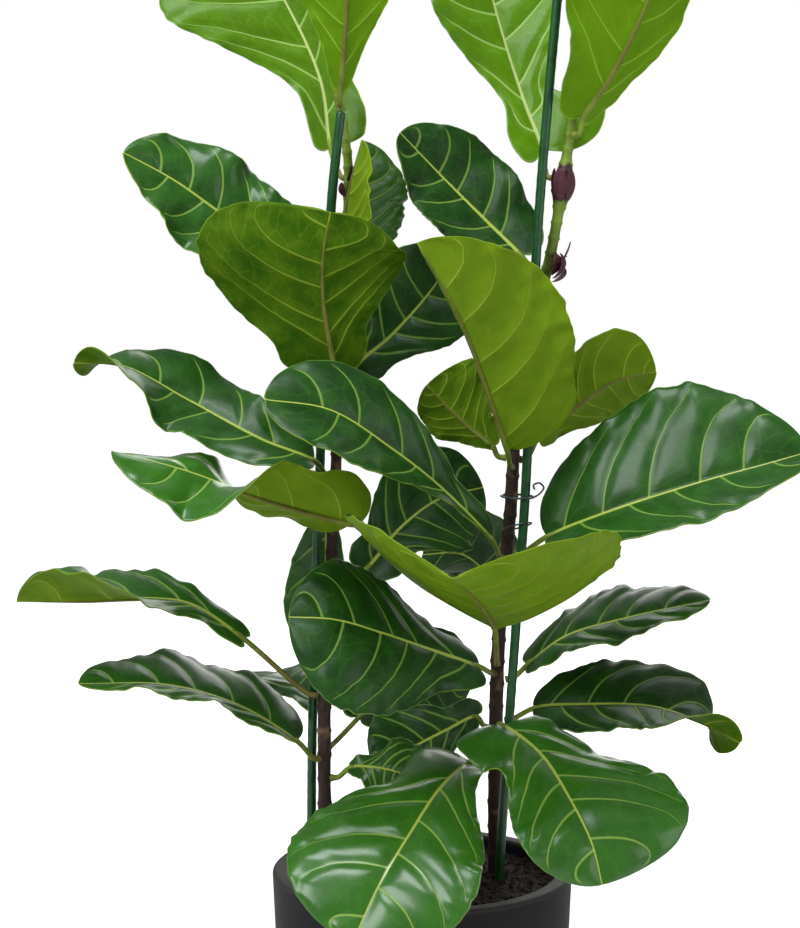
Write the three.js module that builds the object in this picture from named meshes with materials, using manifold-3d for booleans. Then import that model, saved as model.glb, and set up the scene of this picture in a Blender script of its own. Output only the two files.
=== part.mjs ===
// A fiddle leaf fig (Ficus lyrata) in a round pot: two woody stems, each held to a stake, with
// broad leathery leaves all the way up, standing in soil.
//
// Millimetres, +Z up. The origin is the centre of the pot's underside, X runs to the right of the
// viewer and Y away from the viewer.

import * as THREE from 'three';
import { mergeVertices } from 'three/addons/utils/BufferGeometryUtils.js';
import Module from 'manifold-3d';

// ---------------------------------------------------------------- driving dimensions

const GAP = 0.3; // clearance between pieces that touch

const POT_RIM_RADIUS = 135;
const POT_BASE_RADIUS = 124;
const POT_HEIGHT = 250;
const POT_WALL = 15;
const POT_FLOOR = 14;
const POT_LIP_ROUND = 4; // rounding of the rim's two edges
const POT_SIDES = 48;

const SOIL_DROP = 12; // soil surface below the rim
const SOIL_CROWN = 3; // the soil stands this much higher round the stems
const HOLE_CLEARANCE = 0.9; // round a stem or stake in the soil
const FOOT_DEPTH = 120; // how far stems and stakes stand into the soil

const STEM_SIDES = 10;
const STAKE_SIDES = 8;
const STAKE_RADIUS = 4.2;

const PETIOLE_RADIUS = 2.4;
const BLADE_THICKNESS = 1.0; // at the midrib
const MARGIN_THICKNESS = 0.8;
const RIB_DEPTH = 2.2; // how far the midrib stands out below the blade at its base
const HALF_COLUMNS = 3; // facets from midrib to margin
const FULL_RINGS = 11; // rings along a large blade
const FEW_RINGS = 6; // rings along a small or hidden blade
const TWIST_RINGS = 15; // rings along a blade that twists
const PETIOLE_RINGS = 2;

const SOIL_TOP = POT_HEIGHT - SOIL_DROP;
const deg = THREE.MathUtils.degToRad;
const vec = (p) => new THREE.Vector3(...p);

// ---------------------------------------------------------------- lofted solids

// Makes one closed solid from rings of equal point counts. Each ring is a row of upper points from
// left to right and a row of lower points from left to right, so both faces are split alike.
function loftRings(rings) {
  const columns = rings[0].upper.length;
  const positions = [];
  for (const ring of rings) {
    for (const p of [...ring.upper, ...ring.lower]) {
      positions.push(p.x, p.y, p.z);
    }
  }
  const upper = (i, j) => i * 2 * columns + j;
  const lower = (i, j) => (i * 2 + 1) * columns + j;
  const faces = [];
  const last = rings.length - 1;
  for (let i = 0; i < last; i += 1) {
    for (let j = 0; j < columns - 1; j += 1) {
      faces.push(upper(i, j), upper(i, j + 1), upper(i + 1, j + 1));
      faces.push(upper(i, j), upper(i + 1, j + 1), upper(i + 1, j));
      faces.push(lower(i, j), lower(i + 1, j + 1), lower(i, j + 1));
      faces.push(lower(i, j), lower(i + 1, j), lower(i + 1, j + 1));
    }
    const right = columns - 1;
    faces.push(upper(i, 0), upper(i + 1, 0), lower(i + 1, 0));
    faces.push(upper(i, 0), lower(i + 1, 0), lower(i, 0));
    faces.push(upper(i, right), lower(i + 1, right), upper(i + 1, right));
    faces.push(upper(i, right), lower(i, right), lower(i + 1, right));
  }
  for (let j = 0; j < columns - 1; j += 1) {
    faces.push(upper(0, j), lower(0, j), lower(0, j + 1));
    faces.push(upper(0, j), lower(0, j + 1), upper(0, j + 1));
    faces.push(upper(last, j), lower(last, j + 1), lower(last, j));
    faces.push(upper(last, j), upper(last, j + 1), lower(last, j + 1));
  }
  const geometry = new THREE.BufferGeometry();
  geometry.setAttribute('position', new THREE.Float32BufferAttribute(positions, 3));
  geometry.setIndex(faces);
  return facingOut(geometry);
}

// Turns the faces of a closed solid over where its volume comes out negative.
function facingOut(geometry) {
  const at = geometry.getAttribute('position');
  const index = geometry.getIndex().array;
  const corner = (k) => new THREE.Vector3().fromBufferAttribute(at, index[k]);
  let volume = 0;
  for (let k = 0; k < index.length; k += 3) {
    volume += corner(k).dot(corner(k + 1).cross(corner(k + 2)));
  }
  if (volume < 0) {
    for (let k = 0; k < index.length; k += 3) {
      [index[k + 1], index[k + 2]] = [index[k + 2], index[k + 1]];
    }
  }
  return geometry;
}

// A round rod of changing radius: the same loft, with the ring's points on a circle.
function rod(curve, radiusAt, sides, steps) {
  const rings = [];
  const across = new THREE.Vector3(1, 0, 0);
  for (let i = 0; i <= steps; i += 1) {
    const u = i / steps;
    const centre = curve.getPointAt(u);
    const tangent = curve.getTangentAt(u);
    const side = across.clone().addScaledVector(tangent, -across.dot(tangent)).normalize();
    const front = new THREE.Vector3().crossVectors(tangent, side);
    rings.push(circleRing(centre, side, front, radiusAt(u), sides / 2));
  }
  return loftRings(rings);
}

// A circle of 2 x half points, as an upper and a lower row that both run from left to right.
function circleRing(centre, side, up, radius, half) {
  const point = (angle) => centre.clone()
    .addScaledVector(side, radius * Math.cos(angle))
    .addScaledVector(up, radius * Math.sin(angle));
  const upper = [];
  const lower = [];
  for (let j = 0; j < half; j += 1) {
    const angle = Math.PI * (j + 0.5) / half;
    upper.push(point(Math.PI - angle));
    lower.push(point(Math.PI + angle));
  }
  return { upper, lower };
}

// ---------------------------------------------------------------- stems and stakes

// Each stem is a curve through a few points with a radius at foot and tip, thicker at its nodes.
const STEMS = {
  left: {
    path: [[-88, 14, SOIL_TOP - FOOT_DEPTH], [-88, 14, 180], [-88, 14, 250], [-88, 15, 400],
      [-84, 20, 480], [-80, 24, 565], [-73, 20, 690], [-66, 18, 840], [-66, 16, 885], [-76, 12, 948]],
    footRadius: 7,
    tipRadius: 4,
  },
  right: {
    path: [[67, 24, SOIL_TOP - FOOT_DEPTH], [67, 24, 180], [67, 24, 250], [67, 22, 390], [70, 20, 470],
      [78, 18, 560], [86, 18, 672], [104, 18, 761], [114, 16, 805], [123, 12, 860], [131, 8, 925]],
    footRadius: 7.5,
    tipRadius: 4.5,
    sheath: { height: 862, reach: 15, swell: 5.5 },
  },
};
const STEM_STEPS = 30;
const NODE_SWELL = 0.9; // how far a node stands out
const NODE_EVERY = 3; // rings from node to node

for (const stem of Object.values(STEMS)) {
  stem.curve = new THREE.CatmullRomCurve3(stem.path.map(vec), false, 'centripetal');
  stem.radiusAt = (u) => THREE.MathUtils.lerp(stem.footRadius, stem.tipRadius, u) + sheathAt(stem, u);
}

// A dried sheath wraps the stem just below its young leaves and makes it thicker there.
function sheathAt(stem, u) {
  if (!stem.sheath) {
    return 0;
  }
  const away = (stem.curve.getPointAt(u).z - stem.sheath.height) / stem.sheath.reach;
  return stem.sheath.swell * Math.exp(-(away ** 2));
}

// How far along a rising curve a height is reached.
function shareAtHeight(curve, height) {
  let low = 0;
  let high = 1;
  for (let k = 0; k < 40; k += 1) {
    const middle = (low + high) / 2;
    if (curve.getPointAt(middle).z < height) {
      low = middle;
    } else {
      high = middle;
    }
  }
  return low;
}

const pointAtHeight = (curve, height) => curve.getPointAt(shareAtHeight(curve, height));

// The stem's centre and radius at a height.
function stemAt(stem, height) {
  const share = shareAtHeight(stem.curve, height);
  return { centre: stem.curve.getPointAt(share), radius: stem.radiusAt(share) + NODE_SWELL };
}

function stemSolid(stem) {
  const swollen = (u) => {
    const ring = Math.round(u * STEM_STEPS);
    return stem.radiusAt(u) + (ring % NODE_EVERY === 0 ? NODE_SWELL : 0);
  };
  return rod(stem.curve, swollen, STEM_SIDES, STEM_STEPS);
}

const STAKES = {
  left: [[-101, 28, SOIL_TOP - FOOT_DEPTH], [-101, 28, 180], [-101, 27, 260], [-99, 24, 400], [-93, 8, 566],
    [-80, -4, 844], [-71, -6, 926]],
  right: [[70, -2, SOIL_TOP - FOOT_DEPTH], [70, -2, 200], [70, -2, 245], [84, 0, 478], [91, 1, 585],
    [101, 2, 823], [116, -6, 1021], [122, -8, 1090]],
};
const STAKE_STEPS = 12;

const stakeCurve = (points) => new THREE.CatmullRomCurve3(points.map(vec), false, 'centripetal');
const stakeSolid = (points) => rod(stakeCurve(points), () => STAKE_RADIUS, STAKE_SIDES, STAKE_STEPS);

// A wire loop that holds the right stem to its stake: an oval round both, level, resting on both.
const CLIP_HEIGHT = 586;
const CLIP_WIRE_RADIUS = 1;
const CLIP_WIDTH = 26;

function clipSolid() {
  const stem = stemAt(STEMS.right, CLIP_HEIGHT);
  const stake = stakeCurve(STAKES.right);
  const atStake = pointAtHeight(stake, CLIP_HEIGHT);
  const across = atStake.clone().sub(stem.centre).setZ(0);
  const apart = across.length();
  const length = apart + stem.radius + STAKE_RADIUS + 2 * (GAP + CLIP_WIRE_RADIUS);
  const middle = (apart + STAKE_RADIUS - stem.radius) / 2;
  const loop = new THREE.TorusGeometry(1, 0.1, 6, 28);
  const at = loop.getAttribute('position');
  for (let k = 0; k < at.count; k += 1) {
    const around = Math.atan2(at.getY(k), at.getX(k));
    const out = (Math.hypot(at.getX(k), at.getY(k)) - 1) * 10 * CLIP_WIRE_RADIUS;
    at.setXYZ(
      k,
      Math.cos(around) * (length / 2 + out),
      Math.sin(around) * (CLIP_WIDTH / 2 + out),
      at.getZ(k) * 10 * CLIP_WIRE_RADIUS,
    );
  }
  loop.translate(middle, 0, 0);
  loop.rotateZ(Math.atan2(across.y, across.x));
  loop.translate(stem.centre.x, stem.centre.y, CLIP_HEIGHT);
  return loop;
}

// ---------------------------------------------------------------- leaves

// Half the width of a blade along its length, 1 at its broadest: two lobes beside the petiole, a
// waist, and a broad round end. blunt and tip say how full it is below and above the broadest place.
function outline(u, leaf, hand) {
  const { broad = 0.66, blunt = 0.7, tip = 0.5, spread = 0.13 } = leaf;
  const power = Math.log(0.5) / Math.log(broad);
  const body = Math.sin(Math.PI * Math.min(u, 0.9995) ** power) ** (u < broad ? blunt : tip);
  const lobe = Array.isArray(leaf.lobe) ? leaf.lobe[hand] : leaf.lobe ?? 0.42;
  const ear = lobe * Math.exp(-(((u - 0.1) / spread) ** 2));
  return (body ** 1.6 + ear ** 1.6) ** (1 / 1.6);
}

// A value given as one number, or as one at the base and one at the tip of the blade.
function along(value, u) {
  return Array.isArray(value) ? THREE.MathUtils.lerp(value[0], value[1], u) : value;
}

// The direction that the top face looks in, from a few directions spread evenly along the blade.
function facingAt(leaf, u) {
  const spread = u * (leaf.face.length - 1);
  const first = Math.min(Math.floor(spread), leaf.face.length - 2);
  return vec(leaf.face[first]).normalize().lerp(vec(leaf.face[first + 1]).normalize(), spread - first);
}

// The leaf's curve: out of the stem, along the petiole, and along the midrib to the tip.
function leafCurve(leaf) {
  const joint = stemAt(STEMS[leaf.stem], leaf.joint);
  const base = vec(leaf.midrib[0]);
  const out = base.clone().sub(joint.centre).setZ(0).normalize();
  const start = joint.centre.clone().addScaledVector(out, joint.radius + GAP);
  const elbow = start.clone().addScaledVector(out, 3 * PETIOLE_RADIUS).add(vec([0, 0, 1.5]));
  const points = [start, elbow, ...leaf.midrib.map(vec)];
  const curve = new THREE.CatmullRomCurve3(points, false, 'centripetal');
  curve.arcLengthDivisions = 400;
  const lengths = curve.getLengths();
  const atBase = Math.round(curve.arcLengthDivisions * 2 / (points.length - 1));
  return { curve, baseShare: lengths[atBase] / lengths[lengths.length - 1] };
}

// The blade's cross-section at u: for each column a point on the top face and the face's normal.
// Each half leaves the midrib at its fold angle and bends by its curl on the way to the margin.
function bladeSection(leaf, u, centre, tangent, normal, length) {
  const rightward = new THREE.Vector3().crossVectors(tangent, normal);
  const points = [];
  for (let j = -HALF_COLUMNS; j <= HALF_COLUMNS; j += 1) {
    const hand = j < 0 ? 0 : 1;
    const side = rightward.clone().multiplyScalar(j < 0 ? -1 : 1);
    const t = Math.abs(j) / HALF_COLUMNS;
    const width = Math.max(leaf.width[hand] * outline(u, leaf, hand), PETIOLE_RADIUS);
    const fold = deg(along(leaf.fold[hand], u));
    const curl = deg(along(leaf.curl[hand], u)) || 1e-6;
    const angle = fold + curl * t;
    const wavePhase = (leaf.phase ?? 0) + hand * 0.4;
    const wave = (leaf.wave ?? 4) * t * t * Math.sin(2 * Math.PI * ((leaf.waves ?? 2.5) * u + wavePhase));
    const reach = width * (Math.sin(angle) - Math.sin(fold)) / curl;
    const rise = width * (Math.cos(fold) - Math.cos(angle)) / curl;
    const sweep = (leaf.sweep ?? 0.09) * length * t * t * Math.exp(-u / 0.12);
    const fade = Math.sin(Math.PI * Math.min(u + 0.03, 0.97)) ** 0.5;
    const point = centre.clone()
      .addScaledVector(side, reach)
      .addScaledVector(normal, rise + wave * fade)
      .addScaledVector(tangent, -sweep);
    const faceNormal = normal.clone().multiplyScalar(Math.cos(angle))
      .addScaledVector(side, -Math.sin(angle));
    points.push({ point, faceNormal, t });
  }
  return points;
}

function leafSolid(leaf) {
  const { curve, baseShare } = leafCurve(leaf);
  const length = curve.getLength() * (1 - baseShare);
  const columns = 2 * HALF_COLUMNS + 1;
  const rings = [];
  const frame = (share, u) => {
    const tangent = curve.getTangentAt(share);
    const facing = facingAt(leaf, u);
    const normal = facing.addScaledVector(tangent, -facing.dot(tangent)).normalize();
    return { centre: curve.getPointAt(share), tangent, normal };
  };
  for (let i = 0; i < PETIOLE_RINGS; i += 1) {
    const { centre, tangent, normal } = frame(baseShare * i / PETIOLE_RINGS, 0);
    const side = new THREE.Vector3().crossVectors(tangent, normal);
    rings.push(circleRing(centre, side, normal, PETIOLE_RADIUS, columns));
  }
  const bladeRings = leaf.rings ?? FULL_RINGS;
  for (let i = 0; i <= bladeRings; i += 1) {
    const u = 0.5 - 0.5 * Math.cos(Math.PI * (i + 0.35) / (bladeRings + 0.35));
    const { centre, tangent, normal } = frame(baseShare + (1 - baseShare) * u, u);
    const upper = [];
    const lower = [];
    for (const { point, faceNormal, t } of bladeSection(leaf, u, centre, tangent, normal, length)) {
      const rib = t === 0 ? RIB_DEPTH * (1 - u) ** 0.7 : 0;
      const thickness = THREE.MathUtils.lerp(BLADE_THICKNESS, MARGIN_THICKNESS, t) + rib;
      upper.push(point);
      lower.push(point.clone().addScaledVector(faceNormal, -thickness));
    }
    rings.push({ upper, lower });
  }
  return loftRings(rings);
}

// Every leaf: the stem it grows from and the height of its joint, the midrib from the base of the
// blade to its tip, the direction of its top face, and for its left and right half (seen from the
// top face with the tip up) the greatest width in mm, the fold and the curl in degrees.
const UP = [0, 0, 1];
const LEAVES = {
  leaf_left_01: { // low and to the front, half hidden
    stem: 'left', joint: 330, midrib: [[-64, 0, 342], [-44, -8, 344], [-24, -16, 342], [-4, -24, 336]],
    face: [[-0.2, -0.5, 0.9], [0, -0.6, 0.8]], width: [36, 42], fold: [15, 15], curl: [-10, -10],
    lobe: 0.2, rings: FEW_RINGS,
  },
  leaf_left_02: { // small, behind
    stem: 'left', joint: 374,
    midrib: [[-95, 44, 388], [-115, 72, 402], [-133, 102, 408], [-145, 137, 400]],
    face: [[0, -0.3, 1], [0, -0.2, 1]], width: [38, 36], fold: [10, 10], curl: [-10, -10],
    rings: FEW_RINGS,
  },
  leaf_left_03: { // pale, low, pointing left
    stem: 'left', joint: 348,
    midrib: [[-112, -16, 370], [-165, -24, 405], [-224, -32, 424], [-301, -46, 428]],
    face: [[0.3, -0.2, 0.9], [0, -0.15, 1], [0, -0.2, 1]], width: [26, 62], fold: [[5, 8], [14, 14]],
    curl: [-8, -12], lobe: [0.3, 0.6], spread: 0.2, broad: 0.5, wave: 4, waves: 3,
  },
  leaf_left_04: { // far to the left, turning its underside forward
    stem: 'left', joint: 405,
    midrib: [[-163, -4, 463], [-206, -8, 492], [-240, -12, 498], [-300, -20, 497], [-357, -28, 498]],
    face: [[0.3, -0.8, 0.5], [0, -0.5, 0.85], [0, 0.1, 1], [0, 0.1, 1]], width: [58, 70],
    fold: [[5, 46], [-10, 38]], curl: [-10, -10], lobe: 0.2, broad: 0.7, blunt: 0.85, tip: 0.5, wave: 2,
    rings: TWIST_RINGS,
  },
  leaf_left_05: { // hanging, behind
    stem: 'left', joint: 598, midrib: [[-84, 50, 590], [-87, 64, 550], [-88, 72, 490], [-84, 76, 425]],
    face: [[-0.3, -1, 0.2], [-0.2, -1, 0.1]], width: [24, 40], fold: [15, 15], curl: [-15, -15],
    lobe: 0.3, sweep: 0, rings: FEW_RINGS,
  },
  leaf_left_06: { // pointing left, twisted, its underside showing beside the stem
    stem: 'left', joint: 562,
    midrib: [[-60, -30, 566], [-130, -44, 588], [-209, -55, 618], [-268, -58, 634]],
    face: [[0, 0.9, 0.4], [0, 0.7, 0.7], [0, -0.7, 0.7], [0, -0.5, 0.9]], width: [60, 34],
    fold: [[0, 10], [40, -45]], curl: [0, 0], lobe: 0.6, broad: 0.5, blunt: 0.6, sweep: 0.03, wave: 4,
    waves: 3, rings: TWIST_RINGS,
  },
  leaf_left_07: { // pointing left, its tip turned over
    stem: 'left', joint: 598,
    midrib: [[-96, -22, 622], [-140, -24, 640], [-208, -2, 674], [-262, -12, 704], [-304, -25, 708]],
    face: [[0, -0.5, 0.85], [0, -0.5, 0.85], [0, -0.5, 0.85], [0, -0.5, 0.85], [0, -0.3, 1],
      [0.2, 0.9, 0.3]], width: [46, 46], fold: [8, 15], curl: [-15, -10], lobe: 0.4, broad: 0.58,
    blunt: 0.5, sweep: 0.02, wave: 5, waves: 3, rings: TWIST_RINGS,
  },
  leaf_left_08: { // behind, pointing up to the right
    stem: 'left', joint: 680, midrib: [[-60, 34, 700], [-29, 46, 727], [5, 58, 764], [32, 68, 802]],
    face: [[0.2, -0.9, 0.4], [0, -0.9, 0.4]], width: [52, 50], fold: [12, 12], curl: [-15, -25],
    wave: 4,
  },
  leaf_left_09: { // large, standing in front with its underside forward
    stem: 'left', joint: 682,
    midrib: [[-77, -20, 702], [-86, -42, 763], [-85, -58, 806], [-79, -60, 838]],
    face: [[0, 0.9, 0.4], [0, 1, 0.1]], width: [76, 112], fold: [12, 8], curl: [15, 10], lobe: 0.32,
    broad: 0.7, blunt: 0.5, tip: 0.34, wave: 4, waves: 2,
  },
  leaf_left_10: { // narrow, standing up beside the stake
    stem: 'left', joint: 755, midrib: [[-71, -4, 782], [-68, -6, 822], [-62, -9, 862], [-53, -12, 900]],
    face: [[1, -0.2, 0.1], [1, -0.35, 0.1]], width: [41, 70], fold: [[36, 44], [30, 38]],
    curl: [[6, 6], [-3, -8]], lobe: 0.1, broad: 0.5, sweep: 0.0, wave: 2, rings: FEW_RINGS,
  },
  leaf_left_11: { // dark and curled, pointing left
    stem: 'left', joint: 772,
    midrib: [[-104, 26, 796], [-162, 28, 826], [-219, 20, 866], [-262, 4, 890]],
    face: [[0, -1, 0.3], [0, -0.9, 0.5]], width: [60, 54], fold: [14, 8], curl: [30, -30], broad: 0.5,
    wave: 8, waves: 3.2,
  },
  leaf_left_12: { // tall, behind, top face forward
    stem: 'left', joint: 868,
    midrib: [[-82, 42, 895], [-91, 54, 955], [-124, 70, 1028], [-176, 90, 1110]],
    face: [[0, -1, 0.3], [0, -1, 0.3]], width: [104, 70], fold: [8, 22], curl: [5, 10],
    lobe: [0.15, 0.55], spread: 0.2, broad: 0.75, tip: 0.6, sweep: 0.03, wave: 4, waves: 2,
  },
  leaf_left_13: { // tall, in front, underside forward
    stem: 'left', joint: 932,
    midrib: [[-71, -8, 948], [-67, -22, 992], [-64, -38, 1045], [-60, -48, 1115]],
    face: [[0, 1, 0.3], [0, 1, 0.2]], width: [48, 56], fold: [12, 12], curl: [10, 10], lobe: 0.15,
    wave: 3, waves: 2,
  },
  leaf_left_14: { // behind, pointing back
    stem: 'left', joint: 745,
    midrib: [[-70, 45, 765], [-72, 90, 796], [-75, 145, 802], [-75, 200, 785]], face: [UP, [0, 0.2, 1]],
    width: [48, 48], fold: [15, 15], curl: [-15, -15], rings: FEW_RINGS,
  },
  leaf_left_15: { // behind, pointing back to the right
    stem: 'left', joint: 500, midrib: [[-50, 46, 516], [-20, 80, 548], [16, 104, 572], [58, 116, 582]],
    face: [[0, -0.8, 0.6], [0, -1, 0.3]], width: [52, 60], fold: [12, 12], curl: [-10, -10],
    rings: FEW_RINGS,
  },
  leaf_left_16: { // low, behind, pointing back
    stem: 'left', joint: 356, midrib: [[-58, 62, 374], [-32, 108, 392], [6, 142, 400], [50, 162, 394]],
    face: [[0, -0.8, 0.6], [0, -1, 0.3]], width: [46, 50], fold: [12, 12], curl: [-10, -10],
    rings: FEW_RINGS,
  },
  leaf_right_01: { // small, low, pointing back
    stem: 'right', joint: 292, midrib: [[82, 44, 302], [98, 64, 290], [112, 85, 276], [122, 108, 262]],
    face: [[0, -0.6, 0.8], [0, -0.6, 0.8]], width: [24, 24], fold: [10, 10], curl: [-10, -10],
    rings: FEW_RINGS,
  },
  leaf_right_02: { // large, drooping over the rim, lowest in front
    stem: 'right', joint: 340,
    midrib: [[42, -22, 352], [16, -62, 340], [-12, -108, 310], [-38, -146, 276], [-60, -170, 234]],
    face: [[-0.1, -0.5, 0.85], [-0.2, -0.7, 0.6], [-0.1, -0.9, 0.4]], width: [80, 92], fold: [8, 8],
    curl: [-15, -20], lobe: [0.2, 0.5], wave: 5, waves: 2,
  },
  leaf_right_03: { // large, drooping to the right in front
    stem: 'right', joint: 372,
    midrib: [[70, -30, 388], [101, -70, 372], [122, -118, 347], [140, -152, 314], [148, -162, 282]],
    face: [[0.1, -0.5, 0.85], [0.1, -0.7, 0.7], [0.1, -0.9, 0.4]], width: [98, 58], fold: [2, 6],
    curl: [-15, -15], lobe: [0.3, 0.9], spread: 0.3, broad: 0.7, sweep: 0.03, wave: 5, waves: 2.5,
  },
  leaf_right_04: { // to the right, its tip turned over
    stem: 'right', joint: 380,
    midrib: [[102, 20, 392], [145, -2, 400], [205, -20, 402], [241, -42, 394], [277, -56, 378]],
    face: [[0, -0.5, 0.85], [0, -0.5, 0.85], [0, -0.2, 1], [0.2, 0.8, 0.5]], width: [60, 46],
    fold: [[22, 5], 8], curl: [-10, -10], lobe: 0.2, broad: 0.52, blunt: 0.6, sweep: 0.03, wave: 4,
    waves: 2,
  },
  leaf_right_05: { // seen almost along its edge, pointing right
    stem: 'right', joint: 418, midrib: [[98, 22, 434], [128, 8, 460], [184, -6, 480], [254, -16, 497]],
    face: [[0, -0.35, 0.95], [0, -0.25, 1]], width: [64, 34], fold: [8, -5], curl: [-15, 0], lobe: 0.25,
    broad: 0.45, tip: 0.5, wave: 3,
  },
  leaf_right_06: { // large and glossy, to the left in front
    stem: 'right', joint: 425,
    midrib: [[48, -26, 440], [6, -54, 460], [-36, -84, 480], [-75, -104, 495], [-114, -108, 498]],
    face: [[-0.1, -0.7, 0.7], [-0.2, -0.8, 0.6]], width: [80, 70], fold: [4, 2], curl: [-30, -18],
    lobe: 0.26, blunt: 0.6, wave: 4, waves: 2,
  },
  leaf_right_07: { // a wide cup that points at the viewer
    stem: 'right', joint: 434,
    midrib: [[63, -42, 476], [56, -91, 497], [43, -142, 519], [30, -190, 538], [22, -219, 549]],
    face: [[0.3, 0.4, 1], [0.25, 0.4, 1]], width: [132, 140], fold: [12, 2], curl: [46, 40],
    lobe: [0.15, 0.8], broad: 0.52, blunt: 0.38, sweep: 0.02, wave: 3, waves: 2,
  },
  leaf_right_08: { // long and glossy, crossing to the left stem
    stem: 'right', joint: 530,
    midrib: [[60, -18, 552], [16, -44, 600], [-26, -68, 636], [-79, -92, 672], [-133, -106, 682]],
    face: [[-0.2, -0.8, 0.6], [-0.2, -0.75, 0.65]], width: [60, 52], fold: [[60, 5], [15, 8]],
    curl: [10, -20], lobe: 0.25, broad: 0.72, blunt: 0.6, sweep: 0, wave: 4, waves: 2,
  },
  leaf_right_09: { // large, to the right
    stem: 'right', joint: 533,
    midrib: [[112, 12, 550], [162, -16, 575], [241, -36, 604], [300, -46, 622], [334, -46, 632]],
    face: [[0, -0.75, 0.7], [0, -0.7, 0.75]], width: [96, 62], fold: [24, 24], curl: [-15, -5],
    lobe: 0.3, broad: 0.5, sweep: 0.03, wave: 5, waves: 2,
  },
  leaf_right_10: { // behind the folded one, pointing up to the right, underside forward
    stem: 'right', joint: 618, midrib: [[106, 30, 640], [136, 38, 662], [172, 44, 686], [212, 55, 695]],
    face: [[-0.2, 0.9, 0.4], [-0.2, 0.9, 0.4]], width: [44, 48], fold: [10, 10], curl: [0, 0], wave: 3,
  },
  leaf_right_11: { // behind the folded one, pointing up to the left
    stem: 'right', joint: 620, midrib: [[62, 16, 632], [44, 24, 646], [24, 30, 664], [4, 34, 684]],
    face: [[0.2, 0.9, 0.3], [0.2, 0.9, 0.3]], width: [56, 34], fold: [10, 10], curl: [0, 0], lobe: 0.15,
    blunt: 0.6, rings: FEW_RINGS,
  },
  leaf_right_12: { // folded along its midrib, underside forward
    stem: 'right', joint: 612, midrib: [[74, -14, 630], [48, -32, 705], [27, -46, 756], [-5, -56, 812]],
    face: [[0.1, 0.9, 0.3], [0, 1, 0.2]], width: [90, 46], fold: [8, 80], curl: [10, 0],
    lobe: [0.42, 0.42], broad: 0.46, blunt: 0.7, tip: 0.6, sweep: 0.045, wave: 5, waves: 2,
  },
  leaf_right_13: { // dark, behind, pointing up to the left
    stem: 'right', joint: 785, midrib: [[88, 34, 800], [54, 50, 834], [18, 58, 870], [-20, 48, 909]],
    face: [[0, -1, 0.3], [0, -0.9, 0.4]], width: [48, 52], fold: [20, 8], curl: [10, -15], broad: 0.5,
    wave: 6,
  },
  leaf_right_14: { // tall, behind, top face forward
    stem: 'right', joint: 868, midrib: [[106, 26, 893], [90, 42, 937], [69, 58, 1005], [46, 75, 1095]],
    face: [[0, -1, 0.3], [0, -1, 0.3]], width: [57, 68], fold: [10, 15], curl: [5, 5],
    lobe: [0.45, 0.95], broad: 0.72, wave: 4, waves: 2,
  },
  leaf_right_15: { // tall, to the right, underside forward
    stem: 'right', joint: 905,
    midrib: [[140, -6, 922], [160, -20, 952], [184, -32, 1000], [204, -40, 1055], [222, -40, 1110]],
    face: [[-0.3, 0.9, 0.2], [-0.2, 1, 0.1]], width: [42, 76], fold: [8, 8], curl: [10, 0], lobe: 0.3,
    broad: 0.6, wave: 4, waves: 2,
  },
  leaf_right_16: { // behind, pointing back
    stem: 'right', joint: 672, midrib: [[90, 52, 692], [92, 105, 712], [92, 165, 714], [92, 220, 698]],
    face: [UP, [0, 0.2, 1]], width: [44, 44], fold: [15, 15], curl: [-15, -15], rings: FEW_RINGS,
  },
  leaf_right_17: { // behind, pointing back to the left
    stem: 'right', joint: 478, midrib: [[68, 58, 484], [62, 122, 498], [38, 176, 510], [2, 212, 504]],
    face: [[0, -0.5, 0.9], [0, -1, 0.4]], width: [48, 52], fold: [12, 12], curl: [-10, -10],
    rings: FEW_RINGS,
  },
  leaf_right_18: { // low, behind, pointing back to the left
    stem: 'right', joint: 372, midrib: [[50, 38, 380], [22, 44, 366], [-10, 40, 350], [-42, 30, 332]],
    face: [[0, -0.7, 0.7], [0, -0.9, 0.5]], width: [40, 44], fold: [12, 12], curl: [-10, -10],
    rings: FEW_RINGS,
  },
};

// ---------------------------------------------------------------- pot and soil

function lathe(profile, segments) {
  const points = profile.map(([radius, height]) => new THREE.Vector2(radius, height));
  const geometry = new THREE.LatheGeometry(points, segments);
  geometry.rotateX(Math.PI / 2);
  return geometry;
}

function potSolid() {
  const innerRim = POT_RIM_RADIUS - POT_WALL;
  const innerFloor = POT_BASE_RADIUS - POT_WALL;
  const roundStep = POT_LIP_ROUND * (1 - Math.SQRT1_2);
  return lathe([
    [0, 0],
    [POT_BASE_RADIUS - 2, 0],
    [POT_BASE_RADIUS, 2],
    [POT_RIM_RADIUS, POT_HEIGHT - POT_LIP_ROUND],
    [POT_RIM_RADIUS - roundStep, POT_HEIGHT - roundStep],
    [POT_RIM_RADIUS - POT_LIP_ROUND, POT_HEIGHT],
    [innerRim + POT_LIP_ROUND, POT_HEIGHT],
    [innerRim + roundStep, POT_HEIGHT - roundStep],
    [innerRim, POT_HEIGHT - POT_LIP_ROUND],
    [innerFloor, POT_FLOOR],
    [0, POT_FLOOR],
  ], POT_SIDES);
}

// The inner radius of the pot at a height.
function innerRadius(height) {
  const share = (height - POT_FLOOR) / (POT_HEIGHT - POT_LIP_ROUND - POT_FLOOR);
  return THREE.MathUtils.lerp(POT_BASE_RADIUS, POT_RIM_RADIUS, share) - POT_WALL;
}

function soilBody() {
  const bottom = POT_FLOOR + GAP;
  return lathe([
    [0, bottom],
    [innerRadius(bottom) - 2 * GAP, bottom],
    [innerRadius(SOIL_TOP - 3) - 2 * GAP, SOIL_TOP - 3],
    [innerRadius(SOIL_TOP) - 6, SOIL_TOP],
    [POT_RIM_RADIUS / 2, SOIL_TOP + SOIL_CROWN],
    [0, SOIL_TOP + SOIL_CROWN],
  ], POT_SIDES);
}

// ---------------------------------------------------------------- booleans

const wasm = await Module();
wasm.setup();

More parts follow.
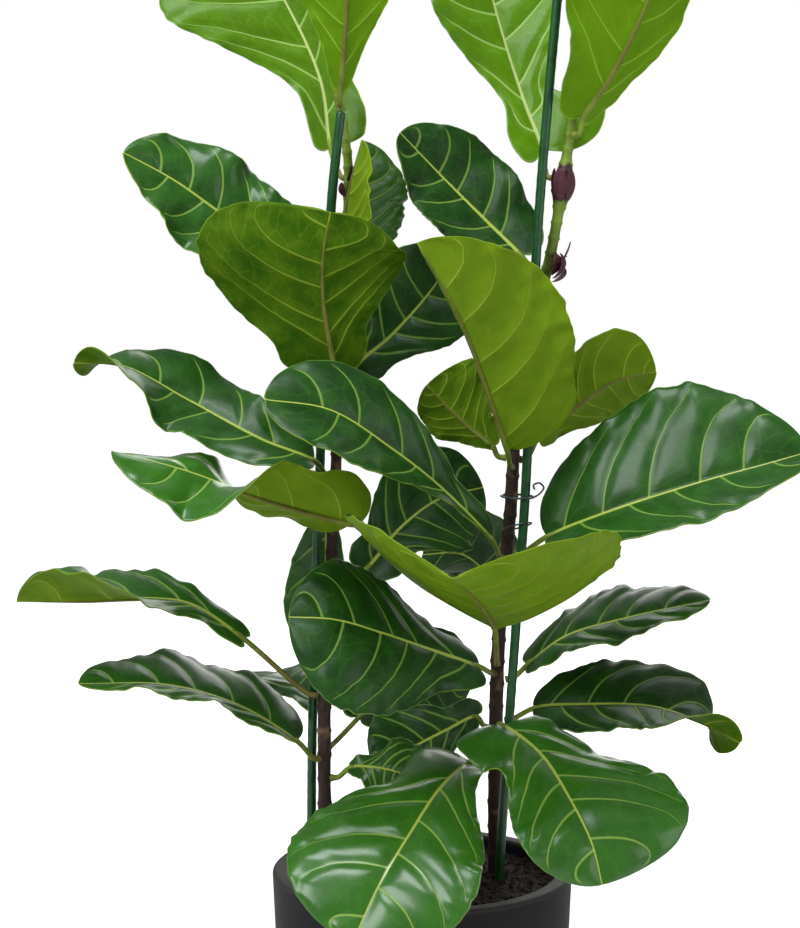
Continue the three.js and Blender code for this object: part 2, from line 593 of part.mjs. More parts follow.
function toManifold(geometry) {
  const bare = geometry.clone();
  bare.deleteAttribute('normal');
  bare.deleteAttribute('uv');
  const merged = mergeVertices(bare, 1e-4);
  return new wasm.Manifold(new wasm.Mesh({
    numProp: 3,
    vertProperties: Float32Array.from(merged.getAttribute('position').array),
    triVerts: Uint32Array.from(merged.getIndex().array),
  }));
}

function toGeometry(manifold) {
  const mesh = manifold.getMesh();
  const geometry = new THREE.BufferGeometry();
  geometry.setAttribute('position', new THREE.Float32BufferAttribute(mesh.vertProperties, 3));
  geometry.setIndex(Array.from(mesh.triVerts));
  return geometry;
}

// The soil has a plain hole for each stem and stake, a gap wider than what stands in it.
function soilSolid() {
  let soil = toManifold(soilBody());
  for (const stem of Object.values(STEMS)) {
    soil = soil.subtract(toManifold(holeRound(stem.path, stem.footRadius + NODE_SWELL + HOLE_CLEARANCE)));
  }
  for (const stake of Object.values(STAKES)) {
    soil = soil.subtract(toManifold(holeRound(stake, STAKE_RADIUS + HOLE_CLEARANCE)));
  }
  return toGeometry(soil);
}

// An upright round plug at the foot of a stem or stake, for cutting its hole.
function holeRound(path, radius) {
  const top = SOIL_TOP + 2 * SOIL_CROWN;
  const bottom = path[0][2] - GAP;
  const plug = new THREE.CylinderGeometry(radius, radius, top - bottom, 16);
  plug.rotateX(Math.PI / 2);
  plug.translate(path[0][0], path[0][1], (top + bottom) / 2);
  return plug;
}

// ---------------------------------------------------------------- the plant

const MATERIALS = {
  pot: { color: 0x2f2f31, roughness: 0.62, metalness: 0 },
  soil: { color: 0x2a1b16, roughness: 0.97, metalness: 0 },
  bark: { color: 0x3a221a, roughness: 0.85, metalness: 0 },
  stake: { color: 0x1c5a30, roughness: 0.3, metalness: 0 },
  wire: { color: 0x4a4f4d, roughness: 0.4, metalness: 0.6 },
  mature: { color: 0x1f5a24, roughness: 0.35, metalness: 0 },
  young: { color: 0x5c9a22, roughness: 0.4, metalness: 0 },
};
const YOUNG_LEAVES = ['leaf_left_12', 'leaf_left_13', 'leaf_right_14', 'leaf_right_15'];

const plant = new THREE.Group();

function addPiece(name, geometry, finish) {
  const mesh = new THREE.Mesh(geometry, new THREE.MeshStandardMaterial(MATERIALS[finish]));
  mesh.name = name;
  plant.add(mesh);
}

addPiece('pot', potSolid(), 'pot');
addPiece('soil', soilSolid(), 'soil');
addPiece('stem_left', stemSolid(STEMS.left), 'bark');
addPiece('stem_right', stemSolid(STEMS.right), 'bark');
addPiece('stake_left', stakeSolid(STAKES.left), 'stake');
addPiece('stake_right', stakeSolid(STAKES.right), 'stake');
addPiece('stem_clip', clipSolid(), 'wire');
for (const [name, leaf] of Object.entries(LEAVES)) {
  addPiece(name, leafSolid(leaf), YOUNG_LEAVES.includes(name) ? 'young' : 'mature');
}

export default plant;
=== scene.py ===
"""Potted fiddle leaf fig: the looks of every piece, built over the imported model.

Metres, +Z up. The origin is the centre of the pot's underside, X runs to the right of the viewer
and Y away from the viewer. Tables of points are in millimetres, as the plant was measured.
"""

import math

import bpy
import numpy as np
from bpy.props import FloatProperty, FloatVectorProperty, IntProperty, PointerProperty
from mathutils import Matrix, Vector, noise


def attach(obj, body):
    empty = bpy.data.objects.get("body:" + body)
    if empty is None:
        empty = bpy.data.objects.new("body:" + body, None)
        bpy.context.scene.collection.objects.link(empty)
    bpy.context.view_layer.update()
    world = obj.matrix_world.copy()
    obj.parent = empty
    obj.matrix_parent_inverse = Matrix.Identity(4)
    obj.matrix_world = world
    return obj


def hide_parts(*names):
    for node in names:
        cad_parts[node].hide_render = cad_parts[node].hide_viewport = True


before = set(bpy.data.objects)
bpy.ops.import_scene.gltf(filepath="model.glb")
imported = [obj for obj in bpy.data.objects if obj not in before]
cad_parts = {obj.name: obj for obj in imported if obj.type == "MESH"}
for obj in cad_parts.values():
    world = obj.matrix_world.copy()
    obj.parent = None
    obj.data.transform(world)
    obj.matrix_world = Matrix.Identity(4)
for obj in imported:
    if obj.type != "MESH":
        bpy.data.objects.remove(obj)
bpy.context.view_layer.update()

bl_info = {
    "name": "Potted Fiddle Leaf Fig",
    "version": (1, 0, 0),
    "blender": (4, 5, 0),
    "location": "3D View > Sidebar > Fig",
    "description": "Builds a fiddle leaf fig in its pot, piece by piece",
    "category": "Object",
}

MM = 0.001

# ---------------------------------------------------------------- measured sizes, in millimetres

GAP = 0.3  # between pieces that touch
POT_FLOOR = 14
LIP_ROUND = 4  # rounding of the rim's inner edge
SOIL_TOP = 238
SOIL_EDGE = 6  # the soil's edge drops by this much along the wall
FOOT_Z = 118  # how far down stems and stakes stand

STEMS = {
    "left": dict(
        path=((-88, 14, FOOT_Z), (-88, 14, 180), (-88, 14, 250), (-88, 15, 400), (-84, 20, 480),
              (-80, 24, 565), (-73, 20, 690), (-66, 18, 840), (-66, 16, 885), (-76, 12, 948)),
        foot=7.0, tip=4.0, green_from=800,
    ),
    "right": dict(
        path=((67, 24, FOOT_Z), (67, 24, 180), (67, 24, 250), (67, 22, 390), (70, 20, 470),
              (78, 18, 560), (86, 18, 672), (104, 18, 761), (114, 16, 805), (123, 12, 860),
              (131, 8, 925)),
        foot=7.5, tip=4.5, green_from=735,
    ),
}
NODE_SWELL = 0.9  # how far the rings at a stem's nodes stand out
SHEATH = dict(height=862, reach=15, swell=5.5, marked=864)  # round the right stem's young wood

STAKES = {
    "left": ((-101, 28, FOOT_Z), (-101, 28, 180), (-101, 27, 260), (-99, 24, 400), (-93, 8, 566),
             (-80, -4, 844), (-71, -6, 926)),
    "right": ((70, -2, FOOT_Z), (70, -2, 200), (70, -2, 245), (84, 0, 478), (91, 1, 585),
              (101, 2, 823), (116, -6, 1021), (122, -8, 1090)),
}
STAKE_RADIUS = 4.2
CLIP_Z = 586
WIRE_RADIUS = 1.0
LOWER_RING = 27  # how far the second ring lies below the loop
HOOK = (  # course of the wire's free end, from the side of the loop
    (0, 0, 0), (4, -1, 1), (10, -2, 5), (13, -2, 10), (9, -2, 14), (4, -2, 12), (5, -2, 8))

SCALE_THICKNESS = 0.6
DRIED_SCALES = (  # place, way out, length, width and curl of each
    ((114, 11, 783), (1.0, -0.8, 0.7), 20, 4.6, 1.6),
    ((115, 11, 788), (0.9, -0.6, 1.2), 23, 4.2, -1.2),
    ((115, 10, 780), (1.0, -0.7, 0.2), 24, 4.0, 2.0),
    ((114, 12, 777), (1.0, -0.9, -0.2), 18, 4.4, 1.4),
    ((115, 13, 786), (1.0, -0.3, 0.5), 28, 3.4, 0.8),
    ((115, 9, 784), (0.6, -1.0, 0.6), 17, 5.0, 1.2),
    ((121, 3, 848), (-0.3, -1, 1.6), 26, 6.0, 0.4),
    ((127, 4, 848), (0.8, -0.8, 1.8), 25, 6.0, 0.4),
    ((117, 5, 850), (-0.9, -0.4, 1.8), 24, 5.0, 0.4),
    ((-69, 13, 852), (-0.6, -1, 0.6), 12, 3.4, 1.2),
    ((-66, 12, 866), (0.9, -0.9, 0.5), 13, 3.2, 1.5),
)

PETIOLE_RADIUS = 2.4
TIP_WIDTH = 0.8  # half the width of a blade at its two ends
FULL_WIDTH = 60  # a half that is narrower than this is waved and quilted less
ROUND_BASE = 0.045  # share of the blade's length in which its base closes in round
WAVE_LAG = 0.4  # of a wave, by which the right margin runs ahead of the left one
LATERALS = 5  # side veins on each half of a blade

# Each leaf as it grows: the height of its joint on the stem, the midrib from the base of the blade
# to the tip, the way its top face looks, and for its left and right half the greatest width in
# millimetres and the fold and curl in degrees, at base and tip where they differ. What a leaf
# doesn't give is as on the usual leaf.
USUAL_LEAF = dict(
    lobe=0.42,  # width of the ears at the base, as a share of the greatest width
    spread=0.13,  # how far the ears reach along the blade
    broad=0.66,  # where the blade is broadest
    blunt=0.7, tip=0.5,  # how full the outline is below and above that place, fuller when lower
    sweep=0.09,  # how far the margin is swept back at the base
    wave=4, waves=2.5,  # height and number of the waves along the margin
    # How light a leaf is painted: partly its own colour, partly painted light and shade. The leaves
    # behind and in shadow are set darkest as painted shade, brightly lit ones lighter.
    tone=0.4,  # 0 for the darkest leaf, 1 for the freshest
    young=False,
)
LEAVES = {
    "leaf_left_01": dict(  # low and to the front, half hidden
        joint=330, midrib=((-64, 0, 342), (-44, -8, 344), (-24, -16, 342), (-4, -24, 336)),
        face=((-0.2, -0.5, 0.9), (0, -0.6, 0.8)), width=(36, 42), fold=(15, 15), curl=(-10, -10),
        lobe=0.2,
    ),
    "leaf_left_02": dict(  # small, behind
        joint=374, midrib=((-95, 44, 388), (-115, 72, 402), (-133, 102, 408), (-145, 137, 400)),
        face=((0, -0.3, 1), (0, -0.2, 1)), width=(38, 36), fold=(10, 10), curl=(-10, -10),
    ),
    "leaf_left_03": dict(  # pale, low, pointing left
        joint=348, midrib=((-112, -16, 370), (-165, -24, 405), (-224, -32, 424), (-301, -46, 428)),
        face=((0.3, -0.2, 0.9), (0, -0.15, 1), (0, -0.2, 1)), width=(26, 62),
        fold=((5, 8), (14, 14)), curl=(-8, -12), lobe=(0.3, 0.6), spread=0.2, broad=0.5, waves=3,
        tone=0.3,
    ),
    "leaf_left_04": dict(  # far to the left, turning its underside forward
        joint=405,
        midrib=((-163, -4, 463), (-206, -8, 492), (-240, -12, 498), (-300, -20, 497),
                (-357, -28, 498)),
        face=((0.3, -0.8, 0.5), (0, -0.5, 0.85), (0, 0.1, 1), (0, 0.1, 1)), width=(58, 70),
        fold=((5, 46), (-10, 38)), curl=(-10, -10), lobe=0.2, broad=0.7, blunt=0.85, wave=2,
        tone=0.6,
    ),
    "leaf_left_05": dict(  # hanging, behind
        joint=598, midrib=((-84, 50, 590), (-87, 64, 550), (-88, 72, 490), (-84, 76, 425)),
        face=((-0.3, -1, 0.2), (-0.2, -1, 0.1)), width=(24, 40), fold=(15, 15), curl=(-15, -15),
        lobe=0.3, sweep=0,
    ),
    "leaf_left_06": dict(  # pointing left, twisted, its underside showing beside the stem
        joint=562, midrib=((-60, -30, 566), (-130, -44, 588), (-209, -55, 618), (-268, -58, 634)),
        face=((0, 0.9, 0.4), (0, 0.7, 0.7), (0, -0.7, 0.7), (0, -0.5, 0.9)), width=(60, 34),
        fold=((0, 10), (40, -45)), curl=(0, 0), lobe=0.6, broad=0.5, blunt=0.6, sweep=0.03, waves=3,
        tone=1,
    ),
    "leaf_left_07": dict(  # pointing left, its tip turned over
        joint=598,
        midrib=((-96, -22, 622), (-140, -24, 640), (-208, -2, 674), (-262, -12, 704),
                (-304, -25, 708)),
        face=((0, -0.5, 0.85), (0, -0.5, 0.85), (0, -0.5, 0.85), (0, -0.5, 0.85), (0, -0.3, 1),
                (0.2, 0.9, 0.3)), width=(46, 46), fold=(8, 15), curl=(-15, -10), lobe=0.4,
        broad=0.58, blunt=0.5, sweep=0.02, wave=5, waves=3, tone=0.3,
    ),
    "leaf_left_08": dict(  # behind, pointing up to the right
        joint=680, midrib=((-60, 34, 700), (-29, 46, 727), (5, 58, 764), (32, 68, 802)),
        face=((0.2, -0.9, 0.4), (0, -0.9, 0.4)), width=(52, 50), fold=(12, 12), curl=(-15, -25),
        tone=0.1,
    ),
    "leaf_left_09": dict(  # large, standing in front with its underside forward
        joint=682, midrib=((-77, -20, 702), (-86, -42, 763), (-85, -58, 806), (-79, -60, 838)),
        face=((0, 0.9, 0.4), (0, 1, 0.1)), width=(76, 112), fold=(12, 8), curl=(15, 10), lobe=0.32,
        broad=0.7, blunt=0.5, tip=0.34, waves=2, tone=0,
    ),
    "leaf_left_10": dict(  # narrow, standing up beside the stake
        joint=755, midrib=((-71, -4, 782), (-68, -6, 822), (-62, -9, 862), (-53, -12, 900)),
        face=((1, -0.2, 0.1), (1, -0.35, 0.1)), width=(41, 70), fold=((36, 44), (30, 38)),
        curl=((6, 6), (-3, -8)), lobe=0.1, broad=0.5, sweep=0, wave=2, tone=0.9,
    ),
    "leaf_left_11": dict(  # dark and curled, pointing left
        joint=772, midrib=((-104, 26, 796), (-162, 28, 826), (-219, 20, 866), (-262, 4, 890)),
        face=((0, -1, 0.3), (0, -0.9, 0.5)), width=(60, 54), fold=(14, 8), curl=(30, -30),
        broad=0.5, wave=8, waves=3.2, tone=0.45,
    ),
    "leaf_left_12": dict(  # tall, behind, top face forward
        joint=868, midrib=((-82, 42, 895), (-91, 54, 955), (-124, 70, 1028), (-176, 90, 1110)),
        face=((0, -1, 0.3), (0, -1, 0.3)), width=(104, 70), fold=(8, 22), curl=(5, 10),
        lobe=(0.15, 0.55), spread=0.2, broad=0.75, tip=0.6, sweep=0.03, waves=2, young=True,
    ),
    "leaf_left_13": dict(  # tall, in front, underside forward
        joint=932, midrib=((-71, -8, 948), (-67, -22, 992), (-64, -38, 1045), (-60, -48, 1115)),
        face=((0, 1, 0.3), (0, 1, 0.2)), width=(48, 56), fold=(12, 12), curl=(10, 10), lobe=0.15,
        wave=3, waves=2, tone=0.3, young=True,
    ),
    "leaf_left_14": dict(  # behind, pointing back
        joint=745, midrib=((-70, 45, 765), (-72, 90, 796), (-75, 145, 802), (-75, 200, 785)),
        face=((0, 0, 1), (0, 0.2, 1)), width=(48, 48), fold=(15, 15), curl=(-15, -15),
    ),
    "leaf_left_15": dict(  # behind, pointing back to the right
        joint=500, midrib=((-50, 46, 516), (-20, 80, 548), (16, 104, 572), (58, 116, 582)),
        face=((0, -0.8, 0.6), (0, -1, 0.3)), width=(52, 60), fold=(12, 12), curl=(-10, -10), tone=0,
    ),
    "leaf_left_16": dict(  # low, behind, pointing back
        joint=356, midrib=((-58, 62, 374), (-32, 108, 392), (6, 142, 400), (50, 162, 394)),
        face=((0, -0.8, 0.6), (0, -1, 0.3)), width=(46, 50), fold=(12, 12), curl=(-10, -10), tone=0,
    ),
    "leaf_right_01": dict(  # small, low, pointing back
        joint=292, midrib=((82, 44, 302), (98, 64, 290), (112, 85, 276), (122, 108, 262)),
        face=((0, -0.6, 0.8), (0, -0.6, 0.8)), width=(24, 24), fold=(10, 10), curl=(-10, -10),
    ),
    "leaf_right_02": dict(  # large, drooping over the rim, lowest in front
        joint=340,
        midrib=((42, -22, 352), (16, -62, 340), (-12, -108, 310), (-38, -146, 276),
                (-60, -170, 234)), face=((-0.1, -0.5, 0.85), (-0.2, -0.7, 0.6), (-0.1, -0.9, 0.4)),
        width=(80, 92), fold=(8, 8), curl=(-15, -20), lobe=(0.2, 0.5), wave=5, waves=2, tone=0.95,
    ),
    "leaf_right_03": dict(  # large, drooping to the right in front
        joint=372,
        midrib=((70, -30, 388), (101, -70, 372), (122, -118, 347), (140, -152, 314),
                (148, -162, 282)), face=((0.1, -0.5, 0.85), (0.1, -0.7, 0.7), (0.1, -0.9, 0.4)),
        width=(98, 58), fold=(2, 6), curl=(-15, -15), lobe=(0.3, 0.9), spread=0.3, broad=0.7,
        sweep=0.03, wave=5, tone=0.8,
    ),
    "leaf_right_04": dict(  # to the right, its tip turned over
        joint=380,
        midrib=((102, 20, 392), (145, -2, 400), (205, -20, 402), (241, -42, 394), (277, -56, 378)),
        face=((0, -0.5, 0.85), (0, -0.5, 0.85), (0, -0.2, 1), (0.2, 0.8, 0.5)), width=(60, 46),
        fold=((22, 5), 8), curl=(-10, -10), lobe=0.2, broad=0.52, blunt=0.6, sweep=0.03, waves=2,
        tone=0,
    ),
    "leaf_right_05": dict(  # seen almost along its edge, pointing right
        joint=418, midrib=((98, 22, 434), (128, 8, 460), (184, -6, 480), (254, -16, 497)),
        face=((0, -0.35, 0.95), (0, -0.25, 1)), width=(64, 34), fold=(8, -5), curl=(-15, 0),
        lobe=0.25, broad=0.45, wave=3, tone=0.2,
    ),
    "leaf_right_06": dict(  # large and glossy, to the left in front
        joint=425,
        midrib=((48, -26, 440), (6, -54, 460), (-36, -84, 480), (-75, -104, 495),
                (-114, -108, 498)), face=((-0.1, -0.7, 0.7), (-0.2, -0.8, 0.6)), width=(80, 70),
        fold=(4, 2), curl=(-30, -18), lobe=0.26, blunt=0.6, waves=2, tone=0.05,
    ),
    "leaf_right_07": dict(  # a wide cup that points at the viewer
        joint=434,
        midrib=((63, -42, 476), (56, -91, 497), (43, -142, 519), (30, -190, 538), (22, -219, 549)),
        face=((0.3, 0.4, 1), (0.25, 0.4, 1)), width=(132, 140), fold=(12, 2), curl=(46, 40),
        lobe=(0.15, 0.8), broad=0.52, blunt=0.38, sweep=0.02, wave=3, waves=2, tone=0.95,
    ),
    "leaf_right_08": dict(  # long and glossy, crossing to the left stem
        joint=530,
        midrib=((60, -18, 552), (16, -44, 600), (-26, -68, 636), (-79, -92, 672),
                (-133, -106, 682)), face=((-0.2, -0.8, 0.6), (-0.2, -0.75, 0.65)), width=(60, 52),
        fold=((60, 5), (15, 8)), curl=(10, -20), lobe=0.25, broad=0.72, blunt=0.6, sweep=0, waves=2,
        tone=0.1,
    ),
    "leaf_right_09": dict(  # large, to the right
        joint=533,
        midrib=((112, 12, 550), (162, -16, 575), (241, -36, 604), (300, -46, 622), (334, -46, 632)),
        face=((0, -0.75, 0.7), (0, -0.7, 0.75)), width=(96, 62), fold=(24, 24), curl=(-15, -5),
        lobe=0.3, broad=0.5, sweep=0.03, wave=5, waves=2, tone=0.35,
    ),
    "leaf_right_10": dict(  # behind the folded one, pointing up to the right, underside forward
        joint=618, midrib=((106, 30, 640), (136, 38, 662), (172, 44, 686), (212, 55, 695)),
        face=((-0.2, 0.9, 0.4), (-0.2, 0.9, 0.4)), width=(44, 48), fold=(10, 10), curl=(0, 0),
        wave=3, tone=0.8,
    ),
    "leaf_right_11": dict(  # behind the folded one, pointing up to the left
        joint=620, midrib=((62, 16, 632), (44, 24, 646), (24, 30, 664), (4, 34, 684)),
        face=((0.2, 0.9, 0.3), (0.2, 0.9, 0.3)), width=(56, 34), fold=(10, 10), curl=(0, 0),
        lobe=0.15, blunt=0.6, tone=0.3,
    ),
    "leaf_right_12": dict(  # folded along its midrib, underside forward
        joint=612, midrib=((74, -14, 630), (48, -32, 705), (27, -46, 756), (-5, -56, 812)),
        face=((0.1, 0.9, 0.3), (0, 1, 0.2)), width=(90, 46), fold=(8, 80), curl=(10, 0),
        lobe=(0.42, 0.42), broad=0.46, tip=0.6, sweep=0.045, wave=5, waves=2, tone=0.9,
    ),
    "leaf_right_13": dict(  # dark, behind, pointing up to the left
        joint=785, midrib=((88, 34, 800), (54, 50, 834), (18, 58, 870), (-20, 48, 909)),
        face=((0, -1, 0.3), (0, -0.9, 0.4)), width=(48, 52), fold=(20, 8), curl=(10, -15),
        broad=0.5, wave=6, tone=0.05,
    ),
    "leaf_right_14": dict(  # tall, behind, top face forward
        joint=868, midrib=((106, 26, 893), (90, 42, 937), (69, 58, 1005), (46, 75, 1095)),
        face=((0, -1, 0.3), (0, -1, 0.3)), width=(57, 68), fold=(10, 15), curl=(5, 5),
        lobe=(0.45, 0.95), broad=0.72, waves=2, tone=0.8, young=True,
    ),
    "leaf_right_15": dict(  # tall, to the right, underside forward
        joint=905,
        midrib=((140, -6, 922), (160, -20, 952), (184, -32, 1000), (204, -40, 1055),
                (222, -40, 1110)), face=((-0.3, 0.9, 0.2), (-0.2, 1, 0.1)), width=(42, 76),
        fold=(8, 8), curl=(10, 0), lobe=0.3, broad=0.6, waves=2, tone=0.3, young=True,
    ),
    "leaf_right_16": dict(  # behind, pointing back
        joint=672, midrib=((90, 52, 692), (92, 105, 712), (92, 165, 714), (92, 220, 698)),
        face=((0, 0, 1), (0, 0.2, 1)), width=(44, 44), fold=(15, 15), curl=(-15, -15),
    ),
    "leaf_right_17": dict(  # behind, pointing back to the left
        joint=478, midrib=((68, 58, 484), (62, 122, 498), (38, 176, 510), (2, 212, 504)),
        face=((0, -0.5, 0.9), (0, -1, 0.4)), width=(48, 52), fold=(12, 12), curl=(-10, -10), tone=0,
    ),
    "leaf_right_18": dict(  # low, behind, pointing back to the left
        joint=372, midrib=((50, 38, 380), (22, 44, 366), (-10, 40, 350), (-42, 30, 332)),
        face=((0, -0.7, 0.7), (0, -0.9, 0.5)), width=(40, 44), fold=(12, 12), curl=(-10, -10),
        tone=0,
    ),
}

# ---------------------------------------------------------------- settings a user would change


def colour(name, description, default):
    """A colour property, linear red, green and blue."""
    return FloatVectorProperty(
        name=name, description=description, default=default, size=3, min=0, max=1, subtype="COLOR")


def length(name, description, default):
    """A length property in metres."""
    return FloatProperty(name=name, description=description, default=default, min=0, unit="LENGTH")


def amount(name, description, default):
    """A property that is a plain number."""
    return FloatProperty(name=name, description=description, default=default, min=0)


class LeafSettings(bpy.types.PropertyGroup):
    """How the blades are built and coloured."""

    rows: IntProperty(name="Rows", description="Points along a blade", default=116, min=20, max=240)
    columns: IntProperty(
        name="Columns", description="Points across a blade, made odd", default=55, min=9, max=99)
    thickness: length("Thickness", "Thickness of a blade", 0.0009)
    quilting: length("Quilting", "How far the blade bulges between its veins", 0.0020)
    rib_radius: length("Rib radius", "Radius of the midrib at the base of the blade", 0.0022)
    deep: colour("Deep green", "Top of a grown leaf, darkest", (0.0028, 0.027, 0.0035))
    fresh: colour("Fresh green", "Top of a grown leaf, lightest", (0.030, 0.140, 0.008))
    vein: colour("Vein", "Veins of a grown leaf's top", (0.21, 0.36, 0.055))
    rib: colour("Midrib", "Midrib of a grown leaf's top", (0.36, 0.46, 0.07))
    under_deep: colour("Deep underside", "Underside of a grown leaf, darkest", (0.019, 0.077, 0.0004))
    under: colour("Underside", "Underside of a grown leaf, lightest", (0.150, 0.255, 0.008))
    under_vein: colour("Underside vein", "Veins of the underside", (0.26, 0.36, 0.03))
    young: colour("Young green", "Top of a young leaf", (0.110, 0.265, 0.003))
    young_under: colour("Young underside", "Underside of a young leaf", (0.13, 0.29, 0.001))


class StemSettings(bpy.types.PropertyGroup):
    """Bark, young wood and petioles."""

    fissure: length("Fissures", "Depth of the cracks in the bark", 0.0006)
    bark: colour("Bark", "Old bark", (0.038, 0.016, 0.011))
    bark_light: colour("Light bark", "Corky patches", (0.16, 0.085, 0.042))
    green_wood: colour("Young wood", "Stem near its tip", (0.16, 0.26, 0.010))
    petiole: colour("Petiole", "Leaf stalk", (0.20, 0.27, 0.03))
    sheath: colour("Sheath", "Dried bud scales", (0.038, 0.003, 0.010))


class PotSettings(bpy.types.PropertyGroup):
    """The pot, the soil in it, the stakes and the wire."""

    rim_radius: length("Rim radius", "Outer radius of the rim", 0.135)
    base_radius: length("Base radius", "Outer radius of the base", 0.124)
    height: length("Height", "Height of the pot", 0.250)
    wall: length("Wall", "Thickness of the wall", 0.015)
    charcoal: colour("Pot", "Matt charcoal", (0.0075, 0.0073, 0.0080))
    soil: colour("Soil", "Damp potting soil", (0.026, 0.011, 0.009))
    crumbs: IntProperty(name="Crumbs", description="Loose crumbs on the soil", default=1500, min=0)
    stake: colour("Stake", "Green coating of the stakes", (0.003, 0.066, 0.012))
    wire: colour("Wire", "Wire of the clip", (0.060, 0.085, 0.085))


class StageSettings(bpy.types.PropertyGroup):
    """Floor, light and camera."""

    floor: colour("Floor", "Pale floor and backdrop", (0.93, 0.93, 0.93))
    surround: amount("Surround", "Light from all round", 0.35)
    glow: amount("Glow", "Whiteness of the floor", 0.7)
    key: amount("Key", "Soft light, left and above", 55)
    top: amount("Top", "Soft light overhead", 34)
    fill: amount("Fill", "Soft light, right", 18)
    back: amount("Back", "Soft light, behind", 26)
    lens: FloatProperty(name="Lens", description="Focal length in mm", default=88.06, min=10, max=300)


# ---------------------------------------------------------------- smooth courses

PER_SPAN = 40  # dense points from one given point to the next


def smooth_line(points):
    """Dense points along the smooth centripetal curve through the given points."""
    given = np.array(points, float)
    knots = np.vstack([2 * given[0] - given[1], given, 2 * given[-1] - given[-2]])
    t = np.linspace(0, 1, PER_SPAN, endpoint=False)[:, None]
    spans = []
    for before, start, end, after in zip(knots, knots[1:], knots[2:], knots[3:]):
        gap = [math.sqrt(max(np.linalg.norm(q - p), 1e-4))
               for p, q in ((before, start), (start, end), (end, after))]
        leaving = (start - before) / gap[0] - (end - before) / (gap[0] + gap[1])
        leaving = (leaving + (end - start) / gap[1]) * gap[1]
        coming = (end - start) / gap[1] - (after - start) / (gap[1] + gap[2])
        coming = (coming + (after - end) / gap[2]) * gap[1]
        spans.append(start + leaving * t + (3 * (end - start) - 2 * leaving - coming) * t ** 2
                     + (2 * (start - end) + leaving + coming) * t ** 3)
    return np.vstack([*spans, given[-1:]])


def unit(vectors):
    """The same directions with length 1."""
    return vectors / np.linalg.norm(vectors, axis=-1, keepdims=True)


class Course:
    """A smooth curve that is read by the share of its length, from 0 to 1."""

    def __init__(self, points):
        self.line = smooth_line(points)
        steps = np.linalg.norm(np.diff(self.line, axis=0), axis=1)
        self.reach = np.concatenate([[0], np.cumsum(steps)])
        self.length = self.reach[-1]
        self.turn = unit(np.gradient(self.line, self.reach, axis=0))

    def read(self, table, share):
        s = np.clip(share, 0, 1) * self.length
        return np.stack([np.interp(s, self.reach, table[:, k]) for k in range(3)], axis=-1)

    def at(self, share):
        return self.read(self.line, share)

    def heading(self, share):
        return unit(self.read(self.turn, share))

    def share_at(self, height):
        return np.interp(height, self.line[:, 2], self.reach) / self.length


STEM_COURSES = {name: Course(stem["path"]) for name, stem in STEMS.items()}
STAKE_COURSES = {name: Course(path) for name, path in STAKES.items()}


def stem_radius(name, share):
    """The stem's radius in millimetres without its nodes."""
    stem, course = STEMS[name], STEM_COURSES[name]
    radius = stem["foot"] + (stem["tip"] - stem["foot"]) * share
    if name == "right":
        away = (course.at(share)[..., 2] - SHEATH["height"]) / SHEATH["reach"]
        radius = radius + SHEATH["swell"] * np.exp(-away ** 2)
    return radius


# ---------------------------------------------------------------- making and finishing pieces


def make_active(*pieces):
    """Selects pieces alone, the first one active."""
    bpy.ops.object.select_all(action="DESELECT")
    for piece in pieces:
        piece.select_set(True)
    bpy.context.view_layer.objects.active = pieces[0]


def new_object(name, data):
    """An object in the scene that holds the data."""
    holder = bpy.data.objects.new(name, data)
    bpy.context.scene.collection.objects.link(holder)
    return holder


def lay_out(piece, points):
    """Moves the mesh's points to their places, given in millimetres."""
    piece.data.vertices.foreach_set("co", (np.asarray(points) * MM).astype(np.float32).ravel())
    piece.data.update()


def sheet(name, points):
    """A grid whose points, rows x columns, lie at the places given in millimetres."""
    rows, columns = points.shape[:2]
    bpy.ops.object.select_all(action="DESELECT")
    bpy.ops.mesh.primitive_grid_add(x_subdivisions=columns - 1, y_subdivisions=rows - 1, size=2)
    piece = bpy.context.object
    piece.name = piece.data.name = name
    lay_out(piece, points)
    return piece


def close_up(piece, caps=True):
    """Merges a seam, closes open ends and turns the faces outwards."""
    make_active(piece)
    bpy.ops.object.mode_set(mode="EDIT")
    bpy.ops.mesh.select_all(action="SELECT")
    bpy.ops.mesh.remove_doubles(threshold=1e-6)
    if caps:
        bpy.ops.mesh.select_all(action="SELECT")
        bpy.ops.mesh.fill_holes(sides=0)
    bpy.ops.mesh.select_all(action="SELECT")
    bpy.ops.mesh.normals_make_consistent(inside=False)
    bpy.ops.mesh.select_all(action="DESELECT")
    bpy.ops.object.mode_set(mode="OBJECT")


def apply_modifier(piece, kind, **settings):
    """Adds a modifier with its settings and applies it."""
    make_active(piece)
    modifier = piece.modifiers.new(kind.lower(), kind)
    for key, value in settings.items():
        setattr(modifier, key, value)
    bpy.ops.object.modifier_apply(modifier=modifier.name)


def join(*pieces):
    """Joins pieces into the first one."""
    make_active(*pieces)
    bpy.ops.object.join()
    return pieces[0]


def finish(piece, material, slot, *nodes, smooth=True):
    """Coats a piece, sets it on the plant's body and lets it stand for its CAD nodes."""
    if material:
        piece.data.materials.append(material)
    if smooth:
        piece.data.shade_smooth()
    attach(piece, "root")
    if nodes:
        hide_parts(*nodes)


